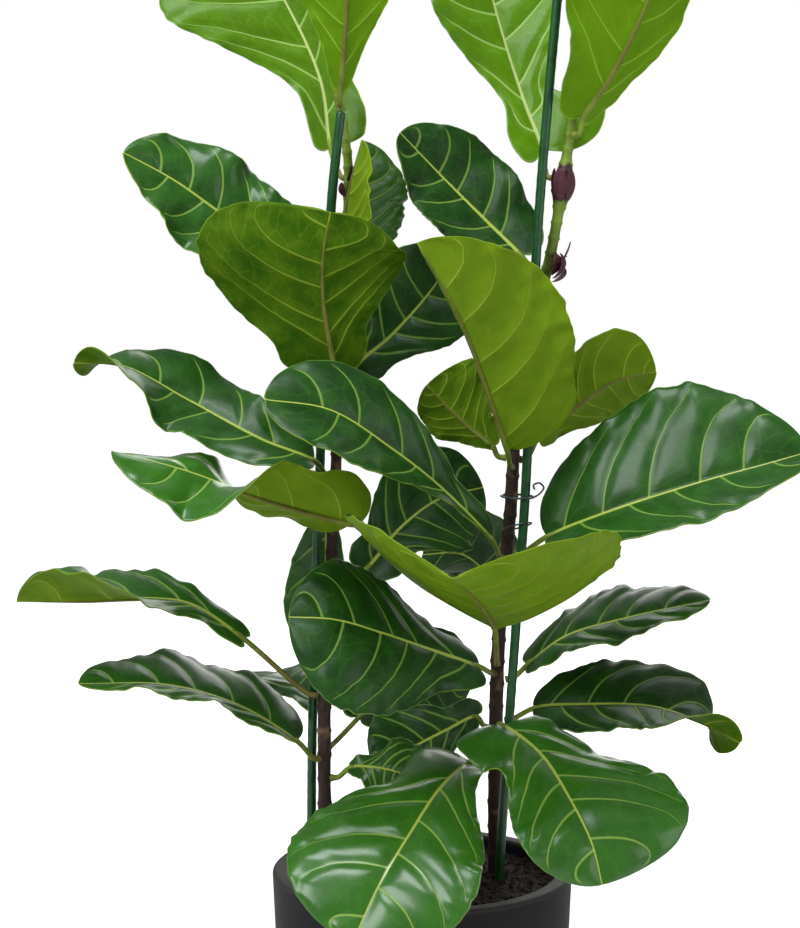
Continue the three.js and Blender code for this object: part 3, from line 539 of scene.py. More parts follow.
def tube(name, centres, radii, sides, closed=False):
    """A round tube along centres in millimetres; radii may differ by ring and round the ring."""
    centres = np.asarray(centres, float)
    radii = np.asarray(radii, float)
    if radii.ndim < 2:
        radii = np.broadcast_to(radii, len(centres))[:, None] * np.ones(sides)
    heading = np.gradient(centres, axis=0)
    if closed:
        heading[0] = heading[-1] = centres[1] - centres[-2]
    heading = unit(heading)
    side = np.zeros_like(centres)
    start = np.array([1.0, 0, 0]) if abs(heading[0, 0]) < 0.8 else np.array([0, 1.0, 0])
    for i, along in enumerate(heading):
        start = unit(start - along * start.dot(along))
        side[i] = start
    front = np.cross(heading, side)
    turn = 2 * np.pi * np.arange(sides + 1) / sides
    rings = np.concatenate([radii, radii[:, :1]], axis=1)[..., None]
    piece = sheet(name, centres[:, None] + rings * np.cos(turn)[None, :, None] * side[:, None]
                  + rings * np.sin(turn)[None, :, None] * front[:, None])
    close_up(piece, caps=not closed)
    return piece


def lumps(points, scale, seed):
    """Smooth noise at points in millimetres, from -1 to 1; scale is the size of a lump."""
    shift = Vector((seed * 7.13, seed * 3.71, seed * 5.39))
    flat = np.asarray(points, float).reshape(-1, 3)
    values = [noise.noise(Vector(p) / scale + shift) for p in flat]
    return np.array(values).reshape(np.asarray(points).shape[:-1])


# ---------------------------------------------------------------- material tools


def shade(paint, share):
    """A colour, darker or lighter by a share."""
    return tuple(share * x for x in paint)


class Nodes:
    """Adds nodes to one tree. A value is a number, a colour or another node's socket."""

    def __init__(self, tree):
        self.tree = tree

    def feed(self, socket, value):
        if isinstance(value, bpy.types.NodeSocket):
            self.tree.links.new(value, socket)
        elif socket.type == "RGBA":
            socket.default_value = (*value, 1.0)[:4]
        else:
            socket.default_value = value

    def put(self, kind, inputs=None, **settings):
        """Adds a node with its settings and feeds its inputs."""
        node = self.tree.nodes.new("ShaderNode" + kind)
        for key, value in settings.items():
            setattr(node, key, value)
        for key, value in (inputs or {}).items():
            self.feed(node.inputs[key], value)
        return node

    def math(self, operation, *values):
        return self.put("Math", dict(enumerate(values)), operation=operation).outputs[0]

    def times(self, first, second):
        return self.math("MULTIPLY", first, second)

    def total(self, start, *parts):
        """A start with values added to it, each times its own share."""
        for value, share in parts:
            start = self.math("MULTIPLY_ADD", value, share, start)
        return start

    def ramp(self, value, low, high, start=0.0, end=1.0):
        """The start where the value is under low, the end where it is over high, smooth between."""
        return self.put("MapRange", {"Value": value, "From Min": low, "From Max": high,
                                     "To Min": start, "To Max": end},
                        interpolation_type="SMOOTHSTEP").outputs["Result"]

    def mix(self, share, low, high):
        """A colour between two colours."""
        return self.put("Mix", {0: share, 6: low, 7: high}, data_type="RGBA").outputs[2]

    def layered(self, paint, *layers):
        """A colour with others laid over it, each by its own share."""
        for share, over in layers:
            paint = self.mix(share, paint, over)
        return paint

    def noise(self, vector, scale, detail, roughness):
        return self.put("TexNoise", {"Vector": vector, "Scale": scale, "Detail": detail,
                                     "Roughness": roughness}).outputs["Fac"]

    def attribute(self, name):
        """An attribute's three numbers."""
        read = self.put("Attribute", attribute_name=name)
        return self.put("SeparateXYZ", {"Vector": read.outputs["Vector"]}).outputs

    def place(self):
        """The piece's own coordinates, in metres."""
        return self.put("TexCoord").outputs["Object"]

    def effect(self, build, inputs):
        """The outputs of an effect's node group, which is built where it is first used."""
        tree = bpy.data.node_groups.get(build.__name__) or build()
        return self.put("Group", inputs, node_tree=tree).outputs

    def grain(self, vector, scale, low=0.0, high=1.0, detail=3.0, roughness=0.55):
        """Uneven grain, and the patches where it rises from low to high."""
        return self.effect(fine_grain, {"Vector": vector, "Scale": scale, "Detail": detail,
                                   "Roughness": roughness, "Low": low, "High": high})


class Surface(Nodes):
    """A new material, its nodes and its shader."""

    def __init__(self, name):
        self.material = bpy.data.materials.new(name)
        self.material.use_nodes = True
        super().__init__(self.material.node_tree)
        self.shader = self.tree.nodes["Principled BSDF"]

    def raised(self, height, depth, invert=False):
        """A surface raised by a height map, depth in metres."""
        return self.put("Bump", {"Height": height, "Distance": depth, "Strength": 1.0},
                        invert=invert).outputs["Normal"]

    def dress(self, inputs):
        """Feeds the shader and hands over the material."""
        for key, value in inputs.items():
            self.feed(self.shader.inputs[key], value)
        return self.material


def new_group(build, inputs, outputs):
    """An effect's node group, named for the function that builds it; None stands for a vector."""
    tree = bpy.data.node_groups.new(build.__name__, "ShaderNodeTree")
    for label, default in inputs.items():
        kind = "NodeSocketVector" if default is None else "NodeSocketFloat"
        socket = tree.interface.new_socket(label, in_out="INPUT", socket_type=kind)
        if default is not None:
            socket.default_value = default
    for label in outputs:
        tree.interface.new_socket(label, in_out="OUTPUT", socket_type="NodeSocketFloat")
    entry, leaving = tree.nodes.new("NodeGroupInput"), tree.nodes.new("NodeGroupOutput")
    return Nodes(tree), entry.outputs, leaving.inputs


def fine_grain():
    """Fine unevenness, for bark, petioles, scales, stakes, wire, pot, soil and floor."""
    nodes, entry, leaving = new_group(
        fine_grain,
        {"Vector": None, "Scale": 100.0, "Detail": 3.0, "Roughness": 0.55, "Low": 0.0, "High": 1.0},
        ["Grain", "Patches"])
    uneven = nodes.noise(entry["Vector"], entry["Scale"], entry["Detail"], entry["Roughness"])
    nodes.feed(leaving["Grain"], uneven)
    nodes.feed(leaving["Patches"], nodes.ramp(uneven, entry["Low"], entry["High"]))
    return nodes.tree


# ---------------------------------------------------------------- leaf patterns and materials


def vein_network(nodes, across, phase, cell_across, cell_along, thickness):
    """Fine veins that cross between the side veins."""
    place = nodes.put("CombineXYZ", {
        "X": nodes.math("DIVIDE", across, cell_across),
        "Y": nodes.math("DIVIDE", phase, cell_along),
    }).outputs[0]
    wander = nodes.put("TexNoise", {"Vector": place, "Scale": 1.3, "Detail": 1.0}).outputs["Color"]
    moved = nodes.put("VectorMath", {0: wander, 1: (0.7, 0.7, 0.0), 2: place},
                      operation="MULTIPLY_ADD").outputs[0]
    cells = nodes.put("TexVoronoi", {"Vector": moved, "Scale": 1.0}, feature="DISTANCE_TO_EDGE",
                      voronoi_dimensions="2D")
    return nodes.ramp(cells.outputs["Distance"], 0.0, thickness, 1.0, 0.0)


def leaf_pattern():
    """Where a blade has its midrib, side veins, fine veins, pale halo and edge, from 0 to 1."""
    nodes, entry, leaving = new_group(
        leaf_pattern, {"Vein Width": 0.0012, "Rib Width": 0.0022},
        ["Rib", "Veins", "Net", "Fine Net", "Halo", "Edge", "Relief", "Mottle"])
    phase, spacing, margin = nodes.attribute("vein")
    across, along, share = nodes.attribute("place")
    nearest = nodes.math("MAXIMUM", nodes.math("ROUND", phase), 0.0)
    nearest = nodes.math("MINIMUM", nearest, LATERALS - 1.0)
    off = nodes.math("ABSOLUTE", nodes.math("SUBTRACT", phase, nearest))
    to_vein = nodes.times(off, spacing)
    to_rib = nodes.math("ABSOLUTE", across)
    vein_width = nodes.times(entry["Vein Width"], nodes.ramp(to_rib, 0.0, 0.08, 1.0, 0.32))
    veins = nodes.ramp(to_vein, nodes.times(vein_width, 0.35), vein_width, 1.0, 0.0)
    veins = nodes.times(veins, nodes.ramp(margin, 0.002, 0.010))
    rib_width = nodes.times(entry["Rib Width"], nodes.total(1.0, (share, -0.7)))
    rib = nodes.ramp(to_rib, nodes.times(rib_width, 0.55), rib_width, 1.0, 0.0)
    net = vein_network(nodes, across, phase, 0.016, 0.5, 0.06)
    fine = vein_network(nodes, across, phase, 0.0052, 0.16, 0.10)
    inside = nodes.ramp(margin, 0.001, 0.004)
    flat = nodes.put("CombineXYZ", {"X": across, "Y": along}).outputs[0]
    results = {
        "Rib": rib, "Veins": veins,
        "Net": nodes.times(net, inside), "Fine Net": nodes.times(fine, inside),
        "Halo": nodes.ramp(nodes.math("MINIMUM", to_vein, to_rib), 0.0005, 0.0095, 1.0, 0.0),
        "Edge": nodes.ramp(margin, 0.0003, 0.0012, 1.0, 0.0),
        "Relief": nodes.total(nodes.math("MAXIMUM", veins, rib), (net, 0.05), (fine, 0.015)),
        "Mottle": nodes.noise(flat, 38.0, 3.0, 0.55),
    }
    for label, value in results.items():
        nodes.feed(leaving[label], value)
    return nodes.tree


def leaf_material(name, deep, fresh, vein, rib, look):
    """One face of a blade. look holds its gloss, net, through-light and which way veins stand."""
    face = Surface(name)
    marks = face.effect(leaf_pattern, {"Vein Width": look["vein"], "Rib Width": look["rib"]})
    # Each leaf's tone is partly its own colour and partly painted light and shade: it lightens the
    # paint, the halo and the veins and adds coat on lit leaves, and darkens leaves in shadow.
    tone = face.put("Attribute", attribute_name="tone").outputs["Fac"]
    lightness = face.total(0.0, (face.ramp(marks["Mottle"], 0.3, 0.7), 0.3), (tone, 0.75))
    halo = face.times(face.total(0.25, (tone, 1.0)), look["halo"])
    paint = face.layered(
        face.mix(lightness, deep, fresh),
        (face.times(marks["Halo"], halo), fresh),
        (face.times(marks["Fine Net"], look["net"] * 0.4), vein),
        (face.times(marks["Net"], look["net"]), vein),
        (face.times(marks["Veins"], face.total(0.62, (tone, 0.3))), vein),
        (marks["Rib"], rib),
        (face.times(marks["Edge"], 0.55), vein))
    dull = face.total(look["rough"], (tone, -0.1), (marks["Veins"], 0.12), (marks["Mottle"], 0.10))
    through = face.put("BsdfTranslucent", {"Color": look["light"]}).outputs[0]
    blend = face.put("MixShader", {0: look["through"], 1: face.shader.outputs[0], 2: through})
    face.feed(face.tree.nodes["Material Output"].inputs["Surface"], blend.outputs[0])
    return face.dress({
        "Base Color": paint, "Roughness": dull, "Specular IOR Level": look["shine"],
        "Coat Weight": face.times(tone, look["wax"]), "Coat Roughness": 0.2,
        "Normal": face.raised(marks["Relief"], 0.0006, invert=look["sunken"])})


def leaf_materials(settings):
    """Top and underside of grown leaves, and of young ones."""
    top = dict(vein=0.0017, rib=0.0025, halo=0.22, net=0.07, rough=0.36, shine=0.22, wax=0.55,
               sunken=True, light=(0.10, 0.26, 0.0), through=0.08)
    below = dict(top, vein=0.0014, halo=0.4, net=0.14, rough=0.55, shine=0.06, wax=0, sunken=False,
                 light=(0.24, 0.40, 0.0), through=0.14)
    young_top = dict(top, net=0.12, rough=0.38, shine=0.16, wax=0.25, light=(0.42, 0.66, 0.0),
                     through=0.25)
    young_below = dict(below, shine=0.12, light=(0.46, 0.70, 0.0), through=0.25)
    grown = (
        leaf_material("leaf_top", settings.deep, settings.fresh, settings.vein, settings.rib, top),
        leaf_material("leaf_underside", settings.under_deep, settings.under, settings.under_vein,
                      settings.under_vein, below))
    young = (
        leaf_material("young_leaf_top", shade(settings.young, 0.42), settings.young,
                      (0.36, 0.55, 0.13), (0.50, 0.62, 0.20), young_top),
        leaf_material("young_leaf_underside", shade(settings.young_under, 0.75),
                      settings.young_under, (0.30, 0.50, 0.04), (0.20, 0.22, 0.02), young_below))
    return grown, young


def petiole_material(settings):
    """Stalk and midrib: yellow-green, browner where it meets the stem and along the blade."""
    stalk = Surface("petiole")
    spots = stalk.grain(stalk.place(), 320.0, 0.55, 0.75)
    streaks = stalk.grain(stalk.place(), 60.0, 0.35, 0.7)
    along = stalk.attribute("place")[1]
    paint = stalk.layered(
        stalk.mix(streaks["Patches"], settings.petiole, shade(settings.petiole, 0.62)),
        (stalk.ramp(along, 0.0, 0.03, 0.0, 0.6), (0.10, 0.065, 0.010)),
        (stalk.ramp(along, -0.034, -0.012, 0.55, 0.0), settings.bark_light),
        (stalk.times(spots["Patches"], 0.3), settings.bark))
    return stalk.dress({
        "Base Color": paint, "Roughness": stalk.total(0.4, (spots["Grain"], 0.2)),
        "Specular IOR Level": 0.25, "Normal": stalk.raised(spots["Grain"], 0.0002)})


# ---------------------------------------------------------------- leaves


def outline(u, leaf, hand):
    """Half the width of a blade along its length, 1 at its broadest: lobes, waist, broad end."""
    power = math.log(0.5) / math.log(leaf["broad"])
    fullness = np.where(u < leaf["broad"], leaf["blunt"], leaf["tip"])
    body = np.sin(np.pi * np.minimum(u, 0.9995) ** power) ** fullness
    lobe = leaf["lobe"][hand] if isinstance(leaf["lobe"], tuple) else leaf["lobe"]
    ear = lobe * np.exp(-((u - 0.1) / leaf["spread"]) ** 2)
    return (body ** 1.6 + ear ** 1.6) ** (1 / 1.6)


def along_blade(value, u):
    """A value given as one number, or as one at the base and one at the tip."""
    low, high = value if isinstance(value, tuple) else (value, value)
    return low + (high - low) * u


def leaf_course(leaf):
    """The curve out of the stem, along the petiole and midrib, and the blade's start on it."""
    stem = STEM_COURSES[leaf["stem"]]
    share = stem.share_at(leaf["joint"])
    centre = stem.at(share)
    out = unit((np.array(leaf["midrib"][0], float) - centre) * (1, 1, 0))
    start = centre + out * (stem_radius(leaf["stem"], share) + NODE_SWELL + GAP)
    elbow = start + out * 3 * PETIOLE_RADIUS + (0, 0, 1.5)
    course = Course([start, elbow, *leaf["midrib"]])
    return course, course.reach[2 * PER_SPAN] / course.length


def blade_frame(leaf, course, share, u):
    """Centre, heading and top-face direction along the blade."""
    looks = unit(np.array(leaf["face"], float))
    knots = np.linspace(0, 1, len(looks))
    normal = np.stack([np.interp(u, knots, looks[:, k]) for k in range(3)], axis=-1)
    heading = course.heading(share)
    normal = unit(normal - heading * np.sum(normal * heading, axis=-1, keepdims=True))
    return course.at(share), heading, normal


def ripples(u, rng, low, high, counts):
    """Waves of several counts along the blade, each with its own height and start."""
    return [rng.uniform(low, high) * np.sin(2 * np.pi * (f * u + rng.random())) for f in counts]


def half_blade(leaf, hand, u, t, frame_along, blade_length, rng):
    """One half of a blade: its points, and what its veins need, each rows x columns."""
    centre, heading, normal = (v[:, None] for v in frame_along)
    outwards = 1 if hand else -1
    side = np.cross(heading, normal) * outwards
    u, t = u[:, None], t[None, :]
    broadest = max(leaf["width"])
    rounding = np.sqrt(1 - (1 - np.minimum(u / ROUND_BASE, 1)) ** 2)
    ripple = sum(ripples(u, rng, 0.002, 0.006, (3, 5, 8, 13, 19)))
    width = leaf["width"][hand] * outline(u, leaf, hand) * rounding * (1 + ripple)
    width = np.maximum(width, TIP_WIDTH)
    fold = np.radians(along_blade(leaf["fold"][hand], u))
    curl = np.radians(along_blade(leaf["curl"][hand], u)) + 1e-6
    angle = fold + curl * t
    wave = leaf["wave"] * t ** 2 * np.sin(2 * np.pi * (leaf["waves"] * u + hand * WAVE_LAG))
    counts = (6, 9, 14)
    ruffle = sum(r / f for r, f in zip(ripples(u, rng, 4, 10, counts), counts))
    wave = wave + t ** 4 * min(1, broadest / FULL_WIDTH) * ruffle
    fade = np.sin(np.pi * np.clip(u + 0.03, 0, 0.97)) ** 0.5
    reach = width * (np.sin(angle) - np.sin(fold)) / curl
    lift = width * (np.cos(fold) - np.cos(angle)) / curl
    sweep = leaf["sweep"] * blade_length * t ** 2 * np.exp(-u / 0.12) * rounding
    points = (centre + side * reach[..., None] + normal * (lift + wave * fade)[..., None]
              - heading * sweep[..., None])
    veins = side_veins(u, t, hand, broadest / blade_length, rng)
    across = outwards * t * width
    along = u * blade_length - sweep
    margin = np.minimum((1 - t) * width, (1 - u) * blade_length)
    return points, dict(veins=veins, spacing=vein_spacing(veins, across, along), across=across,
                        along=along, margin=margin, share=np.broadcast_to(u, veins.shape))


def side_veins(u, t, hand, aspect, rng):
    """A count that is whole on each side vein; they leave the midrib evenly and arch to the tip."""
    arch = aspect * (0.30 * t + 0.62 * t ** 2.8) * (1 - 0.5 * u ** 2)
    first = 0.06 + rng.uniform(0.0, 0.03) + 0.07 * hand
    veins = (u - arch - first) / rng.uniform(0.165, 0.19)
    veins = veins + 0.10 * np.sin(2 * np.pi * (0.45 * veins + rng.random()))
    return veins + 0.07 * np.sin(2 * np.pi * (1.3 * u + rng.random())) * t


def vein_spacing(veins, across, along):
    """How many millimetres lie between one side vein and the next, at each point."""
    veins_i, veins_j = np.gradient(veins)
    across_i, across_j = np.gradient(across)
    along_i, along_j = np.gradient(along)
    area = across_i * along_j - across_j * along_i
    area = np.where(np.abs(area) < 1e-3, 1e-3, area)
    slope_across = (veins_i * along_j - veins_j * along_i) / area
    slope_along = (veins_j * across_i - veins_i * across_j) / area
    return np.clip(1 / np.maximum(np.hypot(slope_across, slope_along), 1e-4), 6, 60)


def quilt(half, depth):
    """How far a half bulges up between its veins, in millimetres."""
    nearest = np.clip(np.round(half["veins"]), 0, LATERALS - 1)
    to_vein = np.abs(half["veins"] - nearest) * half["spacing"]
    to_rib = np.abs(half["across"]) * 0.8
    bulge = 1 - np.exp(-(np.minimum(to_vein, to_rib) / 6.0) ** 1.6)
    return depth * bulge * (1 - np.exp(-half["margin"] / 7.0))


def corner_vertices(mesh):
    """The vertex at every face corner."""
    vertex = np.empty(len(mesh.loops), np.int32)
    mesh.loops.foreach_get("vertex_index", vertex)
    return vertex


def add_values(mesh, name, values):
    """Stores three numbers for every face corner as an attribute."""
    attribute = mesh.attributes.new(name, "FLOAT_VECTOR", "CORNER")
    attribute.data.foreach_set("vector", values.astype(np.float32).ravel())


def add_blade_values(mesh, columns, halves, name, scales):
    """Stores three of the halves' values, each corner's from the half that its face lies in."""
    vertex = corner_vertices(mesh)
    row, column = vertex // columns, vertex % columns
    middle = columns // 2
    in_left = np.repeat(column.reshape(-1, 4).min(axis=1) < middle, 4)
    left, right = halves
    values = [scale * np.where(in_left, left[key][row, np.clip(middle - column, 0, middle)],
                               right[key][row, np.clip(column - middle, 0, middle)])
              for key, scale in scales.items()]
    add_values(mesh, name, np.stack(values, axis=-1))


def blade_points(leaf, course, base, settings, rng):
    """The top face's points and normals, rows x columns, and what the veins of each half need."""
    columns = settings.columns | 1
    s = np.linspace(0, 1, settings.rows)
    u = 0.5 * s + 0.5 * (0.5 - 0.5 * np.cos(np.pi * s))  # closer together towards both ends
    frame_along = blade_frame(leaf, course, base + (1 - base) * u, u)
    t = np.linspace(0, 1, columns // 2 + 1)
    (left_points, left), (right_points, right) = (
        half_blade(leaf, hand, u, t, frame_along, course.length * (1 - base), rng) for hand in (0, 1))
    points = np.concatenate([left_points[:, :0:-1], right_points], axis=1)
    normals = unit(np.cross(np.gradient(points, axis=1), np.gradient(points, axis=0)))
    size = min(1.0, max(leaf["width"]) / FULL_WIDTH)
    rise_left, rise_right = (quilt(half, settings.quilting / MM * size) for half in (left, right))
    bulge = np.concatenate([rise_left[:, :0:-1], rise_right], axis=1)
    off_rib = np.minimum(1, 5 * np.abs(np.linspace(-1, 1, columns)))
    bulge += 0.5 * lumps(points, 42.0, rng.integers(100)) * size * off_rib
    return points + normals * bulge[..., None], normals, (left, right)


def build_blade(name, leaf, course, base, settings, faces, rng):
    """A blade with both faces, its margin and its quilting."""
    above, normals, halves = blade_points(leaf, course, base, settings, rng)
    below = above - normals * (settings.thickness / MM)
    piece = sheet(name, above)
    piece.data.uv_layers[0].name = "blade"
    for attribute, scales in (("vein", dict(veins=1, spacing=MM, margin=MM)),
                              ("place", dict(across=MM, along=MM, share=1))):
        add_blade_values(piece.data, above.shape[1], halves, attribute, scales)
    for face in faces:
        piece.data.materials.append(face)
    apply_modifier(piece, "SOLIDIFY", thickness=settings.thickness, offset=-1.0,
                   material_offset=1, material_offset_rim=1)
    lay_out(piece, np.concatenate([above.reshape(-1, 3), below.reshape(-1, 3)]))
    return piece


def build_rib(name, leaf, course, base, settings):
    """The petiole and, under the blade, the midrib that it turns into."""
    share = np.concatenate([np.linspace(0, base, 26)[:-1], np.linspace(base, 0.97, 64)])
    u = np.clip((share - base) / (1 - base), 0, 1)
    centre, _, normal = blade_frame(leaf, course, share, u)
    rib = settings.rib_radius / MM
    radii = np.where(share < base, PETIOLE_RADIUS, rib * (1 - u) ** 0.85 + 0.25)
    radii = radii + 1.1 * np.exp(-share * course.length / 3.0)
    # where the halves droop like a roof, the midrib sinks further so as to stay under them
    droop = -np.minimum(*(np.broadcast_to(along_blade(fold, u), u.shape) for fold in leaf["fold"]))
    sunk = np.clip(u / 0.04, 0, 1) * (radii + 0.1) / np.cos(np.radians(np.clip(droop, 0, 60)))
    piece = tube(name, centre - normal * sunk[:, None], radii, sides=12)
    places = np.empty(len(piece.data.vertices) * 3)
    piece.data.vertices.foreach_get("co", places)
    off = np.linalg.norm(places.reshape(-1, 1, 3) / MM - centre[None], axis=-1)
    along = ((share - base) * course.length * MM)[np.argmin(off, axis=1)]
    vertex = corner_vertices(piece.data)
    add_values(piece.data, "place", along[vertex][:, None] * np.array([0, 1, 0]))
    return piece


def build_leaf(name, leaf, settings, faces, stalk, rng):
    """One whole leaf, joined of blade and rib, in place of its CAD node."""
    course, base = leaf_course(leaf)
    blade = build_blade("fine_" + name, leaf, course, base, settings, faces, rng)
    rib = build_rib(name + "_rib", leaf, course, base, settings)
    rib.data.materials.append(stalk)
    piece = join(blade, rib)
    # The leaf's tone on every point: partly its own colour, partly painted shade that darkens leaves
    # behind or in shadow.
    tone = piece.data.attributes.new("tone", "FLOAT", "POINT")
    tone.data.foreach_set("value", np.full(len(piece.data.vertices), leaf["tone"], np.float32))
    finish(piece, None, "leaf_young" if leaf["young"] else "leaf", name)


class FIG_OT_leaves(bpy.types.Operator):
    """Builds every leaf with its petiole, veins and quilting"""

    bl_idname = "fig.leaves"
    bl_label = "Leaves"

    def execute(self, context):
        settings = context.scene.fig_leaf
        grown, young = leaf_materials(settings)
        stalk = petiole_material(context.scene.fig_stem)
        for seed, (name, given) in enumerate(LEAVES.items(), start=11):
            leaf = dict(USUAL_LEAF, stem=name.split("_")[1], **given)
            faces = young if leaf["young"] else grown
            build_leaf(name, leaf, settings, faces, stalk, np.random.default_rng(seed))
        return {"FINISHED"}


# ---------------------------------------------------------------- stems, sheath and scales


def bark_material(settings):
    """Brown cracked bark that turns yellow-green towards the tip, with corky patches."""
    bark = Surface("bark")
    place = bark.place()
    x, _, z = bark.put("SeparateXYZ", {"Vector": place}).outputs
    drawn = bark.put("Mapping", {"Vector": place, "Scale": (1.0, 1.0, 0.22)}).outputs[0]
    cracks = bark.grain(drawn, 420.0, 0.35, 0.75, detail=5.0, roughness=0.65)
    corky = bark.grain(place, 46.0, 0.56, 0.70, detail=2.0)
    specks = bark.grain(place, 900.0, detail=2.0)["Grain"]
    ragged = bark.grain(drawn, 170.0)["Grain"]
    wood = bark.layered(
        bark.mix(cracks["Patches"], settings.bark, shade(settings.bark, 0.35)),
        (bark.times(corky["Patches"], 0.8), settings.bark_light))
    young = bark.mix(bark.ramp(corky["Grain"], 0.3, 0.7), settings.green_wood,
                     shade(settings.green_wood, 0.6))
    is_young = bark.ramp(bark.total(z, (corky["Grain"], 0.05)), 0.765, 0.835)
    from_sheath = bark.math("ABSOLUTE", bark.math("SUBTRACT", z, SHEATH["marked"] * MM))
    on_sheath = bark.times(
        bark.ramp(bark.total(from_sheath, (ragged, 0.018)), 0.023, 0.027, 1.0, 0.0),
        bark.ramp(x, 0.02, 0.05))
    return bark.dress({
        "Base Color": bark.layered(wood, (is_young, young), (on_sheath, settings.sheath)),
        "Roughness": bark.total(0.82, (is_young, -0.35)),
        "Normal": bark.raised(bark.total(cracks["Grain"], (specks, 0.3)), 0.0006)})


def build_stem(name, settings, material):
    """A stem with raised rings at its nodes and cracked bark on its old part."""
    course = STEM_COURSES[name]
    share = np.linspace(0, 1, 360)
    centre = course.at(share)
    gap = 27.0 - 9.0 * share  # between one node and the next, closer towards the tip
    to_node = np.abs((share * course.length / gap) % 1 - 0.5) * gap
    radius = stem_radius(name, share) + NODE_SWELL * np.exp(-(to_node / 2.2) ** 2) - 0.25
    sides = 32
    turn = 2 * np.pi * np.arange(sides) / sides
    # lumps are read from a stretched tube, so that the cracks run along the stem
    around = np.stack([centre[:, None, 0] + 9 * np.cos(turn), centre[:, None, 1] + 9 * np.sin(turn),
                       centre[:, None, 2] * 0.3 + 0 * turn], axis=-1)
    age = np.clip((STEMS[name]["green_from"] - centre[:, 2]) / 120, 0.1, 1)[:, None]
    depth = settings.fissure / MM
    rough = depth * age * (0.7 * lumps(around, 3.2, 1) + 0.9 * lumps(around, 9.0, 2))
    piece = tube("stem_" + name + "_bark", centre, radius[:, None] + rough, sides)
    finish(piece, material, "bark", "stem_" + name)


class FIG_OT_stems(bpy.types.Operator):
    """Builds both stems with their bark"""

    bl_idname = "fig.stems"
    bl_label = "Stems"

    def execute(self, context):
        settings = context.scene.fig_stem
        material = bark_material(settings)
        for name in STEMS:
            build_stem(name, settings, material)
        return {"FINISHED"}


def scale_material(settings):
    """Dried scales: dark maroon with paler veining."""
    papery = Surface("dried_scale")
    fibres = papery.grain(papery.place(), 500.0, 0.4, 0.7)
    paint = papery.mix(fibres["Patches"], settings.sheath, (0.10, 0.013, 0.024))
    return papery.dress({"Base Color": paint, "Roughness": 0.6,
                         "Normal": papery.raised(fibres["Grain"], 0.0003)})


def build_scale(place, out, length_mm, width_mm, roll, rng):
    """A dried bud scale: a narrow papery blade that curls away from the stem."""
    s = np.linspace(0, 1, 18)[:, None]
    a = np.linspace(-1, 1, 9)[None, :]
    out = unit(np.array(out, float))
    up = unit(np.cross(np.cross(out, (0, 0, 1)), out) + 1e-6)
    side = np.cross(out, up)
    forward = length_mm * np.sin(roll * s) / roll
    drop = length_mm * (1 - np.cos(roll * s)) / roll
    width = width_mm * np.sin(np.pi * np.clip(s * 0.92 + 0.06, 0, 1)) ** 0.7
    cup = 0.35 * width * a ** 2
    ruffle = 0.5 * np.sin(7 * s + rng.random() * 6) * np.abs(a)
    piece = sheet("dried_scales", (
        np.array(place, float) + out * (forward + cup + ruffle)[..., None]
        + up * (drop * 0.8 + 0.3 * length_mm * s)[..., None] + side * (a * width)[..., None]))
    apply_modifier(piece, "SOLIDIFY", thickness=SCALE_THICKNESS * MM, offset=0.0)
    return piece


class FIG_OT_scales(bpy.types.Operator):
    """Builds the dried bud scales on the young wood"""

    bl_idname = "fig.scales"
    bl_label = "Dried scales"

    def execute(self, context):
        rng = np.random.default_rng(5)
        piece = join(*(build_scale(*scale, rng) for scale in DRIED_SCALES))
        finish(piece, scale_material(context.scene.fig_stem), "bark")
        return {"FINISHED"}


# ---------------------------------------------------------------- stakes and clip


def stake_material(settings):
    """Glossy green plastic coat, a little uneven."""
    coat = Surface("stake_coat")
    uneven = coat.grain(coat.place(), 90.0, 0.35, 0.7)
    scuffs = coat.grain(coat.place(), 700.0)["Grain"]
    return coat.dress({
        "Base Color": coat.mix(uneven["Patches"], settings.stake, shade(settings.stake, 0.6)),
        "Roughness": coat.total(0.24, (scuffs, 0.25)),
        "Normal": coat.raised(uneven["Grain"], 0.0006)})


class FIG_OT_stakes(bpy.types.Operator):
    """Builds the two coated stakes with their domed ends"""

    bl_idname = "fig.stakes"
    bl_label = "Stakes"

    def execute(self, context):
        material = stake_material(context.scene.fig_pot)
        for name, course in STAKE_COURSES.items():
            share = np.concatenate([[0.0], np.linspace(0.001, 0.9965, 150), [0.998, 0.9993, 1.0]])
            radius = STAKE_RADIUS + 0.12 * np.sin(share * course.length / 2.2)
            radius[-3:] = (3.7, 2.6, 0.6)  # the domed end
            piece = tube("stake_" + name + "_coat", course.at(share), radius, sides=24)
            finish(piece, material, "stake", "stake_" + name)
        return {"FINISHED"}


def wire_material(settings):
    """Dull grey wire."""
    wire = Surface("wire")
    marks = wire.grain(wire.place(), 900.0)["Grain"]
    return wire.dress({
        "Base Color": wire.mix(marks, settings.wire, shade(settings.wire, 0.5)),
        "Metallic": 0.6, "Roughness": wire.total(0.3, (marks, 0.25))})


def clip_courses():
    """The loop round the right stem and its stake, its hooked end, and the ring below it."""
    stem, stake = STEM_COURSES["right"], STAKE_COURSES["right"]
    share = stem.share_at(CLIP_Z)
    centre = stem.at(share)
    radius = stem_radius("right", share) + NODE_SWELL
    to_stake = (stake.at(stake.share_at(CLIP_Z)) - centre) * (1, 1, 0)
    apart = np.linalg.norm(to_stake)
    across = to_stake / apart
    beside = np.array([-across[1], across[0], 0])
    half = (apart + radius + STAKE_RADIUS) / 2 + WIRE_RADIUS + GAP
    middle = centre + across * (apart + STAKE_RADIUS - radius) / 2
    middle[2] = CLIP_Z
    turn = np.linspace(0, 2 * np.pi, 97)[:, None]
    loop = middle + across * half * np.cos(turn) + beside * 13 * np.sin(turn)
    hook = Course(middle + across * half + np.array(HOOK)).at(np.linspace(0, 1, 50))
    lower = middle - (0, 0, LOWER_RING)
    ring = lower + across * (half - 1.5) * np.cos(turn) + beside * 11 * np.sin(turn)
    ring[:, 2:] += 5 * np.cos(turn)
    return loop, hook, ring


